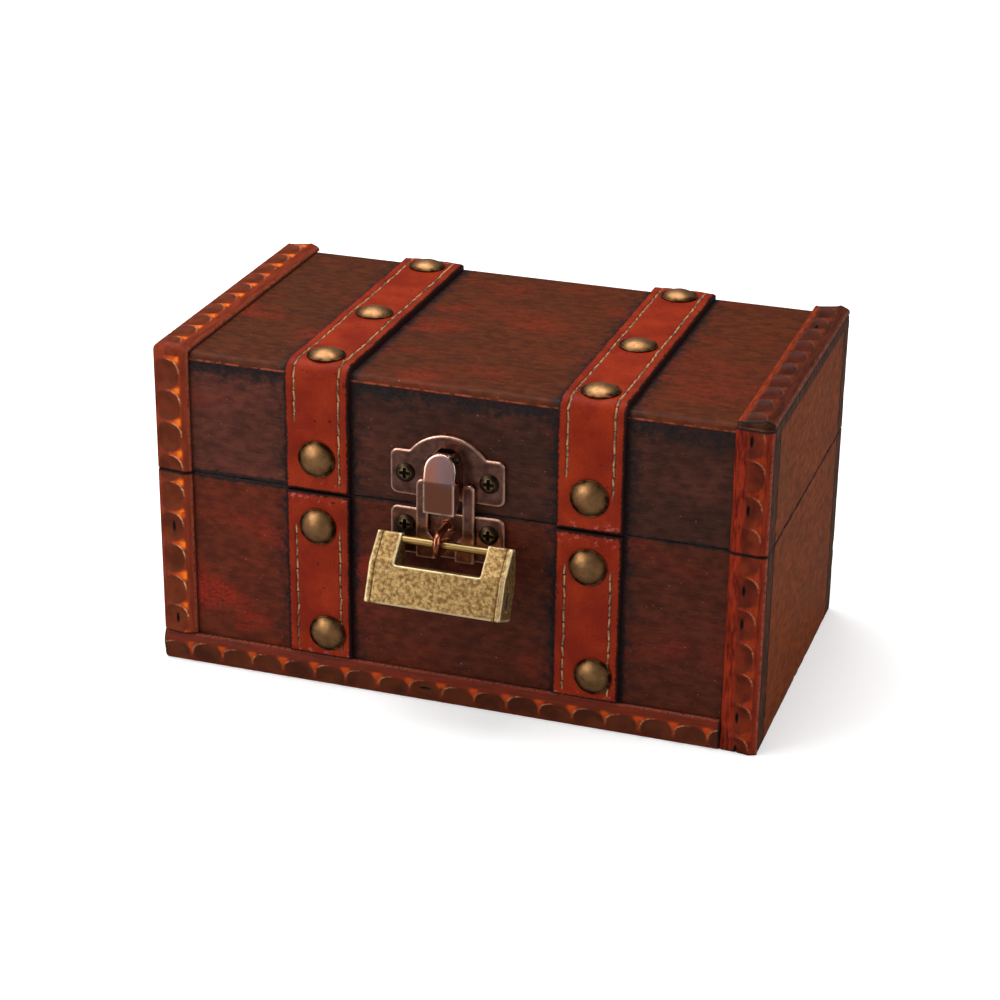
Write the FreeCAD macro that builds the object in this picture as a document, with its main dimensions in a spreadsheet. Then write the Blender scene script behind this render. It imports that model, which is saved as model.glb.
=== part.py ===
import FreeCAD, Part
import math
import os
import re
import Sketcher

# A small flat-topped treasure chest: a wooden box and lid, carved edge mouldings, leather straps with
# dome nails, a copper hasp and a brass bar padlock.  Millimetres and degrees.  The origin is the middle
# of the box's bottom face, +X is to the right seen from the front, -Y is the front and +Z is up.

SIZES = {
    # Wooden box
    "box_width": 165.0,
    "box_depth": 90.0,
    "box_height": 89.2,
    "parting_height": 55.8,
    "wall": 6.5,
    "top_thickness": 3.0,
    "bottom_thickness": 3.0,
    "seam_chamfer": 0.5,
    "top_edge_radius": 2.0,
    # Carved mouldings
    "trim_width": 9.6,
    "bottom_trim_width": 8.4,
    "trim_proud": 2.5,
    "trim_side_rise": 1.2,
    "scoop_pitch": 9.0,
    "scoop_radius": 5.1,
    "scoop_tip": 3.2,
    "scoop_floor_rise": 1.5,
    "scoop_dish": 0.6,
    "brad_diameter": 1.2,
    "brad_bite": 2.4,
    "brad_sink": 0.5,
    "brad_across_share": 0.62,
    # Leather straps and dome nails
    "strap_spacing": 73.4,
    "strap_width": 17.5,
    "strap_thickness": 2.0,
    "strap_seam_gap": 0.4,
    "strap_foot_gap": 0.2,
    "nail_head": 10.2,
    "nail_rim": 0.5,
    "nail_dome": 2.0,
    "nail_shank": 1.8,
    "nail_bite": 2.4,
    "upper_nail_drop": 9.5,
    "lower_nail_rise": 7.3,
    "lower_nail_shift": 2.2,
    "lid_nail_rise": 9.5,
    "front_nail_inset": 5.6,
    "middle_nail_inset": 40.0,
    "back_nail_inset": 8.5,
    # Hasp plates
    "hasp_centre": -1.3,
    "plate_width": 31.0,
    "plate_thickness": 1.2,
    "plate_corner": 2.0,
    "upper_plate_rise": 3.0,
    "upper_plate_height": 12.4,
    "arch_chord": 20.6,
    "arch_rise": 5.2,
    "lower_plate_drop": 0.4,
    "lower_plate_height": 13.0,
    "prong_gap": 9.2,
    "prong_width": 3.3,
    "prong_thickness": 1.3,
    "prong_rise": 8.5,
    "prong_clearance": 0.4,
    "funnel_drop": 5.6,
    "funnel_height": 2.4,
    "funnel_gap": 5.2,
    "screw_spacing": 22.6,
    "upper_screw_rise": 9.1,
    "lower_screw_drop": 5.2,
    "screw_head": 5.2,
    "screw_head_height": 0.9,
    "screw_rim": 0.3,
    "screw_shank": 2.2,
    "screw_bite": 4.5,
    "screw_slot_width": 0.7,
    "screw_slot_length": 2.8,
    "screw_slot_depth": 0.5,
    # Hasp tongue, its lug and pin
    "tongue_width": 8.5,
    "tongue_foot_rise": 1.6,
    "tongue_fold_rise": 10.2,
    "tongue_proud": 8.0,
    "tongue_top_proud": 6.1,
    "tongue_wall": 1.0,
    "tongue_back_rise": 5.8,
    "tongue_foot_thickness": 1.9,
    "pivot_rise": 15.2,
    "pivot_forward": 3.8,
    "tongue_pivot_radius": 2.3,
    "lug_radius": 1.65,
    "lug_neck_rise": 0.4,
    "lug_width": 3.9,
    "tongue_pin": 1.4,
    "tongue_pin_inset": 0.2,
    # Staple
    "staple_wire": 2.0,
    "staple_drop": 4.0,
    "staple_bow": 2.6,
    # Padlock
    "lock_centre": 0.4,
    "lock_tilt": 23.3,
    "lock_width": 36.6,
    "lock_thickness": 9.6,
    "lock_lower_height": 10.4,
    "lock_taper_height": 8.2,
    "lock_top_thickness": 2.4,
    "lock_notch": 23.2,
    "lock_end_plate": 1.6,
    "bar_diameter": 2.2,
    "bar_below_top": 1.6,
    "bar_forward": 7.0,
    "bar_lift": 0.12,
    "bar_end_gap": 0.3,
    "cavity_width": 7.0,
    "cavity_height": 6.5,
    "spine_thickness": 2.2,
    "spine_height": 4.4,
    "spine_length": 25.0,
    "spring_thickness": 0.5,
    "spring_height": 3.6,
    "spring_root": 3.0,
    "spring_length": 14.0,
    "spring_spread": 1.4,
    "keyhole_width": 1.4,
    "keyhole_height": 4.6,
    # Back hinges
    "hinge_spacing": 90.0,
    "hinge_length": 21.0,
    "hinge_leaf": 9.5,
    "hinge_thickness": 1.0,
    "knuckle_radius": 1.6,
    "hinge_pin": 1.6,
    "knuckle_gap": 0.2,
    "hinge_screw_spacing": 13.0,
    "hinge_screw_reach": 5.8,
    "hinge_screw_head": 3.4,
    "hinge_screw_head_height": 0.6,
    "hinge_screw_rim": 0.2,
    "hinge_screw_shank": 1.6,
    "hinge_screw_bite": 4.0,
    "hinge_screw_slot_width": 0.5,
    "hinge_screw_slot_length": 1.9,
    "hinge_screw_slot_depth": 0.3,
    # Fits
    "running_clearance": 0.05,
    "slot_clearance": 0.2,
    "overrun": 1.0,
}

doc = FreeCAD.newDocument("TreasureChest")
sheet = doc.addObject("Spreadsheet::Sheet", "Sizes")
for row, (alias, value) in enumerate(SIZES.items(), start=1):
    sheet.set(f"A{row}", alias)
    sheet.set(f"B{row}", str(value))
    sheet.setAlias(f"B{row}", alias)
doc.recompute()

sub_parts = []


# Formulas in the sheet's words

def formula(text):
    """The formula with each size's name written as a cell of the sheet."""
    return re.sub(r"[a-z_]+", lambda word: f"Sizes.{word[0]}" if word[0] in SIZES else word[0], text)


def number(text):
    """The present value of a formula."""
    value = sheet.evalExpression(formula(text))
    return float(getattr(value, "Value", value))


def vector(x, y, z):
    """A point or direction from three formulas."""
    return FreeCAD.Vector(number(x), number(y), number(z))


# Bodies, sketches and features

def new_body(label):
    body = doc.addObject("PartDesign::Body", label)
    body.Label = label
    return body


def keep(sub_part):
    """Put the piece on the list of pieces that are written out."""
    sub_parts.append(sub_part)
    return sub_part


def locate(body, x, y, z, rotation=None):
    """Place a piece, its position bound to the sheet."""
    if rotation is not None:
        body.Placement.Rotation = rotation
    for axis, text in zip("xyz", (x, y, z)):
        body.setExpression(f"Placement.Base.{axis}", formula(text))
    return body


def origin_feature(body, role):
    return next(feature for feature in body.Origin.OriginFeatures if feature.Role == role)


def new_sketch(body, name, role, offset="0"):
    """A sketch on one of the body's own planes, moved along that plane's normal."""
    sketch = body.newObject("Sketcher::SketchObject", f"{body.Name}_{name}")
    sketch.AttachmentSupport = [(origin_feature(body, role), "")]
    sketch.MapMode = "FlatFace"
    sketch.setExpression("AttachmentOffset.Base.z", formula(offset))
    return sketch


def pin_point(sketch, geometry, point, across, up):
    """Fix a point of the sketch by its two distances from the sketch's origin."""
    for kind, text in (("DistanceX", across), ("DistanceY", up)):
        rule = Sketcher.Constraint(kind, -1, 1, geometry, point, number(text))
        sketch.setExpression(f"Constraints[{sketch.addConstraint(rule)}]", formula(text))


def arc_middle(start, finish, radius, hollow):
    """The middle of the shorter arc between two points, to the right of the way unless it is hollow."""
    half_chord = (finish - start) / 2
    inward = math.sqrt(max(radius ** 2 - half_chord.Length ** 2, 0))
    outward = FreeCAD.Vector(half_chord.y, -half_chord.x, 0).normalize()
    return start + half_chord + outward * ((inward - radius) if hollow else (radius - inward))


def chain(sketch, corners, closed):
    """Lines and arcs through corners (across, up).  A corner with a radius is reached by an arc, which
    bulges to the right of the way unless the corner also says hollow."""
    points = [vector(corner[0], corner[1], "0") for corner in corners]
    reached = list(range(len(corners))) if closed else list(range(1, len(corners)))
    ends = []
    for index in reached:
        start, finish = points[index - 1], points[index]
        if len(corners[index]) == 2:
            ends.append((sketch.addGeometry(Part.LineSegment(start, finish)), 1, 2))
            continue
        radius, hollow = corners[index][2], "hollow" in corners[index]
        middle = arc_middle(start, finish, number(radius), hollow)
        anticlockwise = (finish, middle, start) if hollow else (start, middle, finish)
        edge = sketch.addGeometry(Part.Arc(*anticlockwise))
        ends.append((edge, 2, 1) if hollow else (edge, 1, 2))
        rule = Sketcher.Constraint("Radius", edge, number(radius))
        sketch.setExpression(f"Constraints[{sketch.addConstraint(rule)}]", formula(radius))
    followers = ends[1:] + ends[:1] if closed else ends[1:]
    for (edge, _, finish), (following, start, _) in zip(ends, followers):
        sketch.addConstraint(Sketcher.Constraint("Coincident", edge, finish, following, start))
    for (edge, _, finish), index in zip(ends, reached):
        pin_point(sketch, edge, finish, *corners[index][:2])
    if not closed:
        pin_point(sketch, *ends[0][:2], *corners[0][:2])


def outline(sketch, corners):
    """A closed outline, drawn anticlockwise so that its arcs bulge outwards."""
    chain(sketch, corners, True)


def mirrored(corners):
    """The same outline on the other side of the upright axis, still anticlockwise, with each arc kept on its
    own edge."""
    count = len(corners)
    turned = []
    for index in reversed(range(count)):
        across, up = corners[index][:2]
        turned.append((f"-({across})", up, *corners[(index + 1) % count][2:]))
    return turned


def rectangle(sketch, left, right, low, high):
    outline(sketch, [(left, low), (right, low), (right, high), (left, high)])


def circle(sketch, across, up, diameter):
    middle = vector(across, up, "0")
    ring = sketch.addGeometry(Part.Circle(middle, FreeCAD.Vector(0, 0, 1), number(diameter) / 2))
    rule = Sketcher.Constraint("Diameter", ring, number(diameter))
    sketch.setExpression(f"Constraints[{sketch.addConstraint(rule)}]", formula(diameter))
    pin_point(sketch, ring, 3, across, up)


def pad(body, sketch, length, sides="One side", back=False):
    feature = body.newObject("PartDesign::Pad", f"{sketch.Name}_pad")
    feature.Profile = sketch
    feature.SideType = sides
    feature.Reversed = back
    feature.setExpression("Length", formula(length))
    return feature


def pocket(body, sketch, depth, sides="One side", back=False):
    """Cut against the sketch's normal, or along it if back is set; the cut must take some material."""
    doc.recompute()
    before = body.Shape.Volume
    feature = body.newObject("PartDesign::Pocket", f"{sketch.Name}_pocket")
    feature.Profile = sketch
    feature.SideType = sides
    feature.Reversed = back
    feature.setExpression("Length", formula(depth))
    doc.recompute()
    if not body.Shape.Volume < before:
        raise RuntimeError(f"{feature.Label} cuts nothing")
    return feature


def prism(label, role, corners, length):
    """A bar with the outline of corners on the plane, as long to both sides of it."""
    body = new_body(label)
    sketch = new_sketch(body, "outline", role)
    outline(sketch, corners)
    pad(body, sketch, length, "Symmetric")
    return body


def drill(body, name, role, offset, places, diameter, depth, back=False):
    """Round holes of one diameter and depth, from the plane at the offset."""
    sketch = new_sketch(body, name, role, offset)
    for across, up in places:
        circle(sketch, across, up, diameter)
    pocket(body, sketch, depth, back=back)


def copies(label, placed):
    """A group of separate solids: a copy of each master at its placement."""
    doc.recompute()
    solids = []
    for master, placement in placed:
        solid = master.Shape.copy()
        solid.Placement = placement
        solids.append(solid)
    group = doc.addObject("Part::Feature", label)
    group.Label = label
    group.Shape = Part.makeCompound(solids)
    group.Placement = FreeCAD.Placement()
    return keep(group)


# Directions that fasteners and mouldings face
RIGHT = FreeCAD.Vector(1, 0, 0)
LEFT = FreeCAD.Vector(-1, 0, 0)
BACKWARD = FreeCAD.Vector(0, 1, 0)
FORWARD = FreeCAD.Vector(0, -1, 0)
UP = FreeCAD.Vector(0, 0, 1)
DOWN = FreeCAD.Vector(0, 0, -1)

FRONT = "-box_depth / 2"
BACK = "box_depth / 2"
SIDE = "box_width / 2"
LID_UNDERSIDE = "box_height - top_thickness"


# Where the fasteners go, each place shared by the fastener and by the holes that take it

STRAPS = {"left": "-strap_spacing / 2", "right": "strap_spacing / 2"}
BASE_NAIL_SPOTS = (("0", "parting_height - upper_nail_drop"),
                   ("lower_nail_shift", "bottom_trim_width + lower_nail_rise"))
LID_NAIL_HEIGHT = "parting_height + lid_nail_rise"
TOP_NAIL_DEPTHS = tuple(f"{FRONT} + {inset}" for inset in
                        ("front_nail_inset", "middle_nail_inset", "box_depth - back_nail_inset"))
BASE_NAILS = [(f"{middle} + {shift}", up) for middle in STRAPS.values() for shift, up in BASE_NAIL_SPOTS]
LID_FRONT_NAILS = [(across, LID_NAIL_HEIGHT) for across in STRAPS.values()]
LID_TOP_NAILS = [(across, depth) for across in STRAPS.values() for depth in TOP_NAIL_DEPTHS]

SCREW_SIDES = ("hasp_centre - screw_spacing / 2", "hasp_centre + screw_spacing / 2")
UPPER_SCREWS = [(across, "parting_height + upper_screw_rise") for across in SCREW_SIDES]
LOWER_SCREWS = [(across, "parting_height - lower_screw_drop") for across in SCREW_SIDES]

HINGES = {"left": "-hinge_spacing / 2", "right": "hinge_spacing / 2"}
HINGE_SCREW_SIDES = [f"{middle} {sign} hinge_screw_spacing / 2"
                     for middle in HINGES.values() for sign in "-+"]
HINGE_BASE_SCREWS = [(across, "parting_height - hinge_screw_reach") for across in HINGE_SCREW_SIDES]
HINGE_LID_SCREWS = [(across, "parting_height + hinge_screw_reach") for across in HINGE_SCREW_SIDES]


# Carved mouldings, all cut from one kind of strip and laid the same way round: each one's length, width,
# the corner it starts from, and the ways it runs, spreads from its lip to its scooped edge and stands proud.

TRIMS = {
    "base_front_trim_left": dict(
        length="parting_height - bottom_trim_width", width="trim_width",
        corner=(f"-{SIDE} + trim_width", FRONT, "bottom_trim_width"), along=UP, outward=LEFT, proud=FORWARD),
    "base_front_trim_right": dict(
        length="parting_height", width="trim_width",
        corner=(SIDE, FRONT, "0"), along=UP, outward=LEFT, proud=FORWARD),
    "base_front_trim_bottom": dict(
        length="box_width - trim_width", width="bottom_trim_width",
        corner=(f"{SIDE} - trim_width", FRONT, "bottom_trim_width"), along=LEFT, outward=DOWN, proud=FORWARD),
    "lid_front_trim_left": dict(
        length="box_height - parting_height", width="trim_width",
        corner=(f"-{SIDE} + trim_width", FRONT, "parting_height"), along=UP, outward=LEFT, proud=FORWARD),
    "lid_front_trim_right": dict(
        length="box_height - parting_height", width="trim_width",
        corner=(SIDE, FRONT, "parting_height"), along=UP, outward=LEFT, proud=FORWARD),
    "lid_top_trim_left": dict(
        length="box_depth", width="trim_width",
        corner=(f"-{SIDE} + trim_width", FRONT, "box_height"), along=BACKWARD, outward=LEFT, proud=UP),
    "lid_top_trim_right": dict(
        length="box_depth", width="trim_width",
        corner=(SIDE, FRONT, "box_height"), along=BACKWARD, outward=LEFT, proud=UP),
}


def first_scoop(trim):
    """How far along the moulding its first scoop lies, with the row of scoops centred on the length."""
    count = f"floor(({trim['length']}) / scoop_pitch)"
    return f"(({trim['length']}) - ({count} - 1) * scoop_pitch) / 2"


def brad_spots(trim):
    """Where the brads stand, along and across the moulding: in its first and last scoops."""
    across = f"{trim['width']} * brad_across_share"
    return [(first_scoop(trim), across), (f"({trim['length']}) - {first_scoop(trim)}", across)]


def shifted(start, direction, distance):
    """A formula for one coordinate, moved by a distance along a direction's part in it."""
    signs = {1: "+", -1: "-"}
    part = round(direction)
    return start if part == 0 else f"({start}) {signs[part]} ({distance})"


def brad_places(labels):
    """The places (x, y, z) of the brads of the named mouldings, on the wood's face."""
    places = []
    for trim in (TRIMS[label] for label in labels):
        for along, across in brad_spots(trim):
            moved = [shifted(start, way, along) for start, way in zip(trim["corner"], trim["along"])]
            places.append([shifted(start, way, across) for start, way in zip(moved, trim["outward"])])
    return places


UPRIGHT_BASE_TRIMS = ["base_front_trim_left", "base_front_trim_right"]
BASE_TRIMS = UPRIGHT_BASE_TRIMS + ["base_front_trim_bottom"]
LID_FRONT_TRIMS = ["lid_front_trim_left", "lid_front_trim_right"]
LID_TOP_TRIMS = ["lid_top_trim_left", "lid_top_trim_right"]
BASE_FRONT_BRADS = [(x, z) for x, y, z in brad_places(BASE_TRIMS)]
LID_FRONT_BRADS = [(x, z) for x, y, z in brad_places(LID_FRONT_TRIMS)]
LID_TOP_BRADS = [(x, y) for x, y, z in brad_places(LID_TOP_TRIMS)]

BRAD_HOLE = "brad_diameter + 2 * running_clearance"
NAIL_HOLE = "nail_shank + 2 * running_clearance"
SCREW_HOLE = "screw_shank + 2 * running_clearance"
HINGE_SCREW_HOLE = "hinge_screw_shank + 2 * running_clearance"


def scoop_slope(width, across):
    """Height of the straight line under a scoop, from its tip to the edge, at a distance across."""
    return f"trim_proud - (trim_proud - scoop_floor_rise) * ({across} - scoop_tip) / ({width} - scoop_tip)"


def edge_trim(label, trim):
    """A half-round moulding with a row of dished scoops that run out at one edge, so that a smooth lip
    stays along the other and forked ridges stand between the scoops."""
    width, length = trim["width"], trim["length"]
    body = new_body(label)
    section = new_sketch(body, "section", "YZ_Plane")
    rise = "(trim_proud - trim_side_rise)"
    crown = f"(({width}) ^ 2 / 4 + {rise} ^ 2) / (2 * {rise})"
    outline(section, [("0", "0"), (width, "0"), (width, "trim_side_rise"), ("0", "trim_side_rise", crown)])
    pad(body, section, length)

    run = f"({width} - scoop_tip)"
    drop = "(trim_proud - scoop_floor_rise)"
    slant = f"sqrt({run} ^ 2 + {drop} ^ 2)"
    outer = f"{width} + overrun"
    outer_floor = scoop_slope(width, f"({outer})")
    chord = f"({slant} * ({run} + overrun) / {run})"
    hollow = f"{chord} ^ 2 / (8 * scoop_dish) + scoop_dish / 2"
    lean = f"scoop_radius * {drop} / {slant}"
    lift = f"scoop_radius * {run} / {slant}"
    gouge = new_sketch(body, "gouge", "YZ_Plane", first_scoop(trim))
    outline(gouge, [("scoop_tip", "trim_proud"), (outer, outer_floor, hollow),
                    (f"{outer} + {lean}", f"{outer_floor} + {lift}"),
                    (f"scoop_tip + {lean}", f"trim_proud + {lift}")])
    axis_ends = (vector(f"scoop_tip + {lean}", f"trim_proud + {lift}", "0"),
                 vector(f"{outer} + {lean}", f"{outer_floor} + {lift}", "0"))
    axis = gouge.addGeometry(Part.LineSegment(*axis_ends), True)
    for axis_point, corner_edge in ((1, 3), (2, 2)):
        gouge.addConstraint(Sketcher.Constraint("Coincident", axis, axis_point, corner_edge, 2))
    scoop = body.newObject("PartDesign::Groove", f"{label}_scoop")
    scoop.Profile = gouge
    scoop.ReferenceAxis = (gouge, ["Axis0"])
    doc.recompute()

    count = f"floor(({length}) / scoop_pitch)"
    row_of_scoops = body.newObject("PartDesign::LinearPattern", f"{label}_row")
    row_of_scoops.Originals = [scoop]
    row_of_scoops.Direction = (origin_feature(body, "X_Axis"), [""])
    row_of_scoops.setExpression("Occurrences", formula(count))
    row_of_scoops.setExpression("Length", formula(f"({count} - 1) * scoop_pitch"))
    body.Tip = row_of_scoops
    drill(body, "brad_holes", "XY_Plane", "trim_proud + overrun", brad_spots(trim), BRAD_HOLE,
          "trim_proud + 2 * overrun")
    rotation = FreeCAD.Rotation(trim["along"], trim["outward"], trim["proud"], "XYZ")
    return keep(locate(body, *trim["corner"], rotation))


# The wooden base

def wall_outline(outer, low, high, chamfered):
    """Section of a wall whose outer face is at outer; the edge at the seam is eased on the outside."""
    inner = f"{outer} - wall"
    if chamfered == "high":
        return [(inner, low), (outer, low), (outer, f"{high} - seam_chamfer"),
                (f"{outer} - seam_chamfer", high), (inner, high)]
    return [(inner, low), (f"{outer} - seam_chamfer", low), (outer, f"{low} + seam_chamfer"),
            (outer, high), (inner, high)]


def base_panels():
    section = wall_outline(BACK, "0", "parting_height", "high")
    side_section = wall_outline(SIDE, "0", "parting_height", "high")
    between = "box_depth - 2 * wall"
    front = keep(prism("base_front_panel", "YZ_Plane", mirrored(section), "box_width"))
    drill(front, "nail_holes", "XZ_Plane", BACK, BASE_NAILS, NAIL_HOLE, "nail_bite + overrun")
    drill(front, "screw_holes", "XZ_Plane", BACK, LOWER_SCREWS, SCREW_HOLE, "screw_bite + overrun")
    drill(front, "brad_holes", "XZ_Plane", BACK, BASE_FRONT_BRADS, BRAD_HOLE, "brad_bite + overrun")
    back = keep(prism("base_back_panel", "YZ_Plane", section, "box_width"))
    drill(back, "screw_holes", "XZ_Plane", FRONT, HINGE_BASE_SCREWS, HINGE_SCREW_HOLE,
          "hinge_screw_bite + overrun", back=True)
    keep(prism("base_left_panel", "XZ_Plane", mirrored(side_section), between))
    keep(prism("base_right_panel", "XZ_Plane", side_section, between))
    bottom = new_body("base_bottom_panel")
    sketch = new_sketch(bottom, "outline", "XY_Plane")
    rectangle(sketch, f"-{SIDE} + wall", f"{SIDE} - wall", f"{FRONT} + wall", f"{BACK} - wall")
    pad(bottom, sketch, "bottom_thickness")
    keep(bottom)


# The wooden lid

def lid_panels():
    section = wall_outline(BACK, "parting_height", LID_UNDERSIDE, "low")
    side_section = wall_outline(SIDE, "parting_height", LID_UNDERSIDE, "low")
    between = "box_depth - 2 * wall"
    front = keep(prism("lid_front_rail", "YZ_Plane", mirrored(section), "box_width"))
    drill(front, "nail_holes", "XZ_Plane", BACK, LID_FRONT_NAILS, NAIL_HOLE, "nail_bite + overrun")
    drill(front, "screw_holes", "XZ_Plane", BACK, UPPER_SCREWS, SCREW_HOLE, "screw_bite + overrun")
    drill(front, "brad_holes", "XZ_Plane", BACK, LID_FRONT_BRADS, BRAD_HOLE, "brad_bite + overrun")
    back = keep(prism("lid_back_rail", "YZ_Plane", section, "box_width"))
    drill(back, "screw_holes", "XZ_Plane", FRONT, HINGE_LID_SCREWS, HINGE_SCREW_HOLE,
          "hinge_screw_bite + overrun", back=True)
    keep(prism("lid_left_rail", "XZ_Plane", mirrored(side_section), between))
    keep(prism("lid_right_rail", "XZ_Plane", side_section, between))
    shoulder = "box_height - top_edge_radius"
    top = keep(prism("lid_top_panel", "YZ_Plane", [
        (FRONT, LID_UNDERSIDE), (BACK, LID_UNDERSIDE), (BACK, shoulder),
        (f"{BACK} - top_edge_radius", "box_height", "top_edge_radius"),
        (f"{FRONT} + top_edge_radius", "box_height"), (FRONT, shoulder, "top_edge_radius")], "box_width"))
    drill(top, "nail_holes", "XY_Plane", "box_height", LID_TOP_NAILS, NAIL_HOLE, "nail_bite + slot_clearance")
    drill(top, "brad_holes", "XY_Plane", "box_height", LID_TOP_BRADS, BRAD_HOLE, "brad_bite + slot_clearance")


# Leather straps

def base_strap(side, middle):
    """A flat strap on the front of the base, from the bottom moulding to just under the seam."""
    strap = new_body(f"base_strap_{side}")
    sketch = new_sketch(strap, "outline", "XZ_Plane", BACK)
    rectangle(sketch, f"{middle} - strap_width / 2", f"{middle} + strap_width / 2",
              "bottom_trim_width + strap_foot_gap", "parting_height - strap_seam_gap")
    pad(strap, sketch, "strap_thickness")
    nails = [(f"{middle} + {shift}", up) for shift, up in BASE_NAIL_SPOTS]
    drill(strap, "nail_holes", "XZ_Plane", f"{BACK} + strap_thickness + overrun", nails, NAIL_HOLE,
          "strap_thickness + 2 * overrun")
    return keep(strap)


def lid_strap(side, middle):
    """A strap that climbs the lid's front, turns over the rounded top edge and runs to the back edge."""
    outer = f"{FRONT} - strap_thickness"
    above = "box_height + strap_thickness"
    shoulder = "box_height - top_edge_radius"
    bend = f"{FRONT} + top_edge_radius"
    foot = "parting_height + strap_seam_gap"
    tail = f"{BACK} - top_edge_radius"
    strap = prism(f"lid_strap_{side}", "YZ_Plane", [
        (FRONT, foot), (FRONT, shoulder), (bend, "box_height", "top_edge_radius", "hollow"),
        (tail, "box_height"), (tail, above), (bend, above),
        (outer, shoulder, "top_edge_radius + strap_thickness"), (outer, foot)], "strap_width")
    drill(strap, "front_hole", "XZ_Plane", f"{BACK} + strap_thickness + overrun",
          [("0", LID_NAIL_HEIGHT)], NAIL_HOLE, "strap_thickness + 2 * overrun")
    drill(strap, "top_holes", "XY_Plane", f"{above} + overrun",
          [("0", depth) for depth in TOP_NAIL_DEPTHS], NAIL_HOLE, "strap_thickness + 2 * overrun")
    return keep(locate(strap, middle, "0", "0"))


# Fasteners: one master of each kind, then its groups

def revolved(label, corners):
    """A turned piece, its half section given as (radius, height)."""
    body = new_body(label)
    sketch = new_sketch(body, "half_section", "XZ_Plane")
    outline(sketch, corners)
    turning = body.newObject("PartDesign::Revolution", f"{label}_turning")
    turning.Profile = sketch
    turning.ReferenceAxis = (sketch, ["V_Axis"])
    doc.recompute()
    return body


def dome(head, rim, height):
    """Radius of the ball that a dome of this head diameter and height above its rim is part of."""
    return f"(({head}) ^ 2 / 4 + ({height} - {rim}) ^ 2) / (2 * ({height} - {rim}))"


def nail_master():
    tip = "-strap_thickness - nail_bite"
    return revolved("dome_nail", [
        ("0", tip), ("nail_shank / 2", f"{tip} + nail_shank / 2"), ("nail_shank / 2", "0"),
        ("nail_head / 2", "0"), ("nail_head / 2", "nail_rim"),
        ("0", "nail_dome", dome("nail_head", "nail_rim", "nail_dome"))])


def screw_master(label, words, carried):
    """A domed cross-head screw; carried is the thickness of what it holds down."""
    head, rim, height = f"{words}_head", f"{words}_rim", f"{words}_head_height"
    tip = f"-{carried} - {words}_bite"
    shank = f"{words}_shank / 2"
    screw = revolved(label, [
        ("0", tip), (shank, f"{tip} + {shank}"), (shank, "0"), (f"{head} / 2", "0"),
        (f"{head} / 2", rim), ("0", height, dome(head, rim, height))])
    far, near = f"{words}_slot_length / 2", f"{words}_slot_width / 2"
    cross = new_sketch(screw, "cross", "XY_Plane", height)
    right = [(near, f"-{far}"), (near, f"-{near}"), (far, f"-{near}"), (far, near), (near, near), (near, far)]
    outline(cross, right + mirrored(right))
    pocket(screw, cross, f"{words}_slot_depth")
    return screw


def brad_master(label, width):
    """A headless brad, sunk below the floor of the scoop that it stands in."""
    top = f"{scoop_slope(width, f'{width} * brad_across_share')} - scoop_dish - brad_sink"
    return revolved(label, [
        ("0", "-brad_bite"), ("brad_diameter / 2", "-brad_bite + brad_diameter / 2"),
        ("brad_diameter / 2", top), ("0", top)])


def facing(direction, x, y, z):
    """A placement that points a fastener's head along a direction."""
    return FreeCAD.Placement(vector(x, y, z), FreeCAD.Rotation(UP, direction))


def driven(master, direction, places):
    """The master and its placement for each place (x, y, z) of a fastener."""
    return [(master, facing(direction, *place)) for place in places]


def fasteners():
    nail = nail_master()
    strap_face = f"{FRONT} - strap_thickness"
    strap_top = "box_height + strap_thickness"
    copies("base_strap_nails", driven(nail, FORWARD, [(x, strap_face, z) for x, z in BASE_NAILS]))
    copies("lid_strap_nails", driven(nail, FORWARD, [(x, strap_face, z) for x, z in LID_FRONT_NAILS])
           + driven(nail, UP, [(x, y, strap_top) for x, y in LID_TOP_NAILS]))

    plate_face = f"{FRONT} - plate_thickness"
    screw = screw_master("hasp_screw", "screw", "plate_thickness")
    copies("hasp_lower_screws", driven(screw, FORWARD, [(x, plate_face, z) for x, z in LOWER_SCREWS]))
    copies("hasp_upper_screws", driven(screw, FORWARD, [(x, plate_face, z) for x, z in UPPER_SCREWS]))

    leaf_face = f"{BACK} + hinge_thickness"
    hinge_screw = screw_master("hinge_screw", "hinge_screw", "hinge_thickness")
    for leaf, places in (("base", HINGE_BASE_SCREWS), ("lid", HINGE_LID_SCREWS)):
        copies(f"hinge_{leaf}_screws", driven(hinge_screw, BACKWARD, [(x, leaf_face, z) for x, z in places]))

    brad = brad_master("trim_brad", "trim_width")
    low_brad = brad_master("bottom_trim_brad", "bottom_trim_width")
    copies("base_trim_brads", driven(brad, FORWARD, brad_places(UPRIGHT_BASE_TRIMS))
           + driven(low_brad, FORWARD, brad_places(["base_front_trim_bottom"])))
    copies("lid_trim_brads", driven(brad, FORWARD, brad_places(LID_FRONT_TRIMS))
           + driven(brad, UP, brad_places(LID_TOP_TRIMS)))


# Hasp: two plates, a staple and a hooded tongue on a pin

PIVOT_Y = f"{FRONT} - pivot_forward"
PIVOT_Z = "parting_height + pivot_rise"


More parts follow.
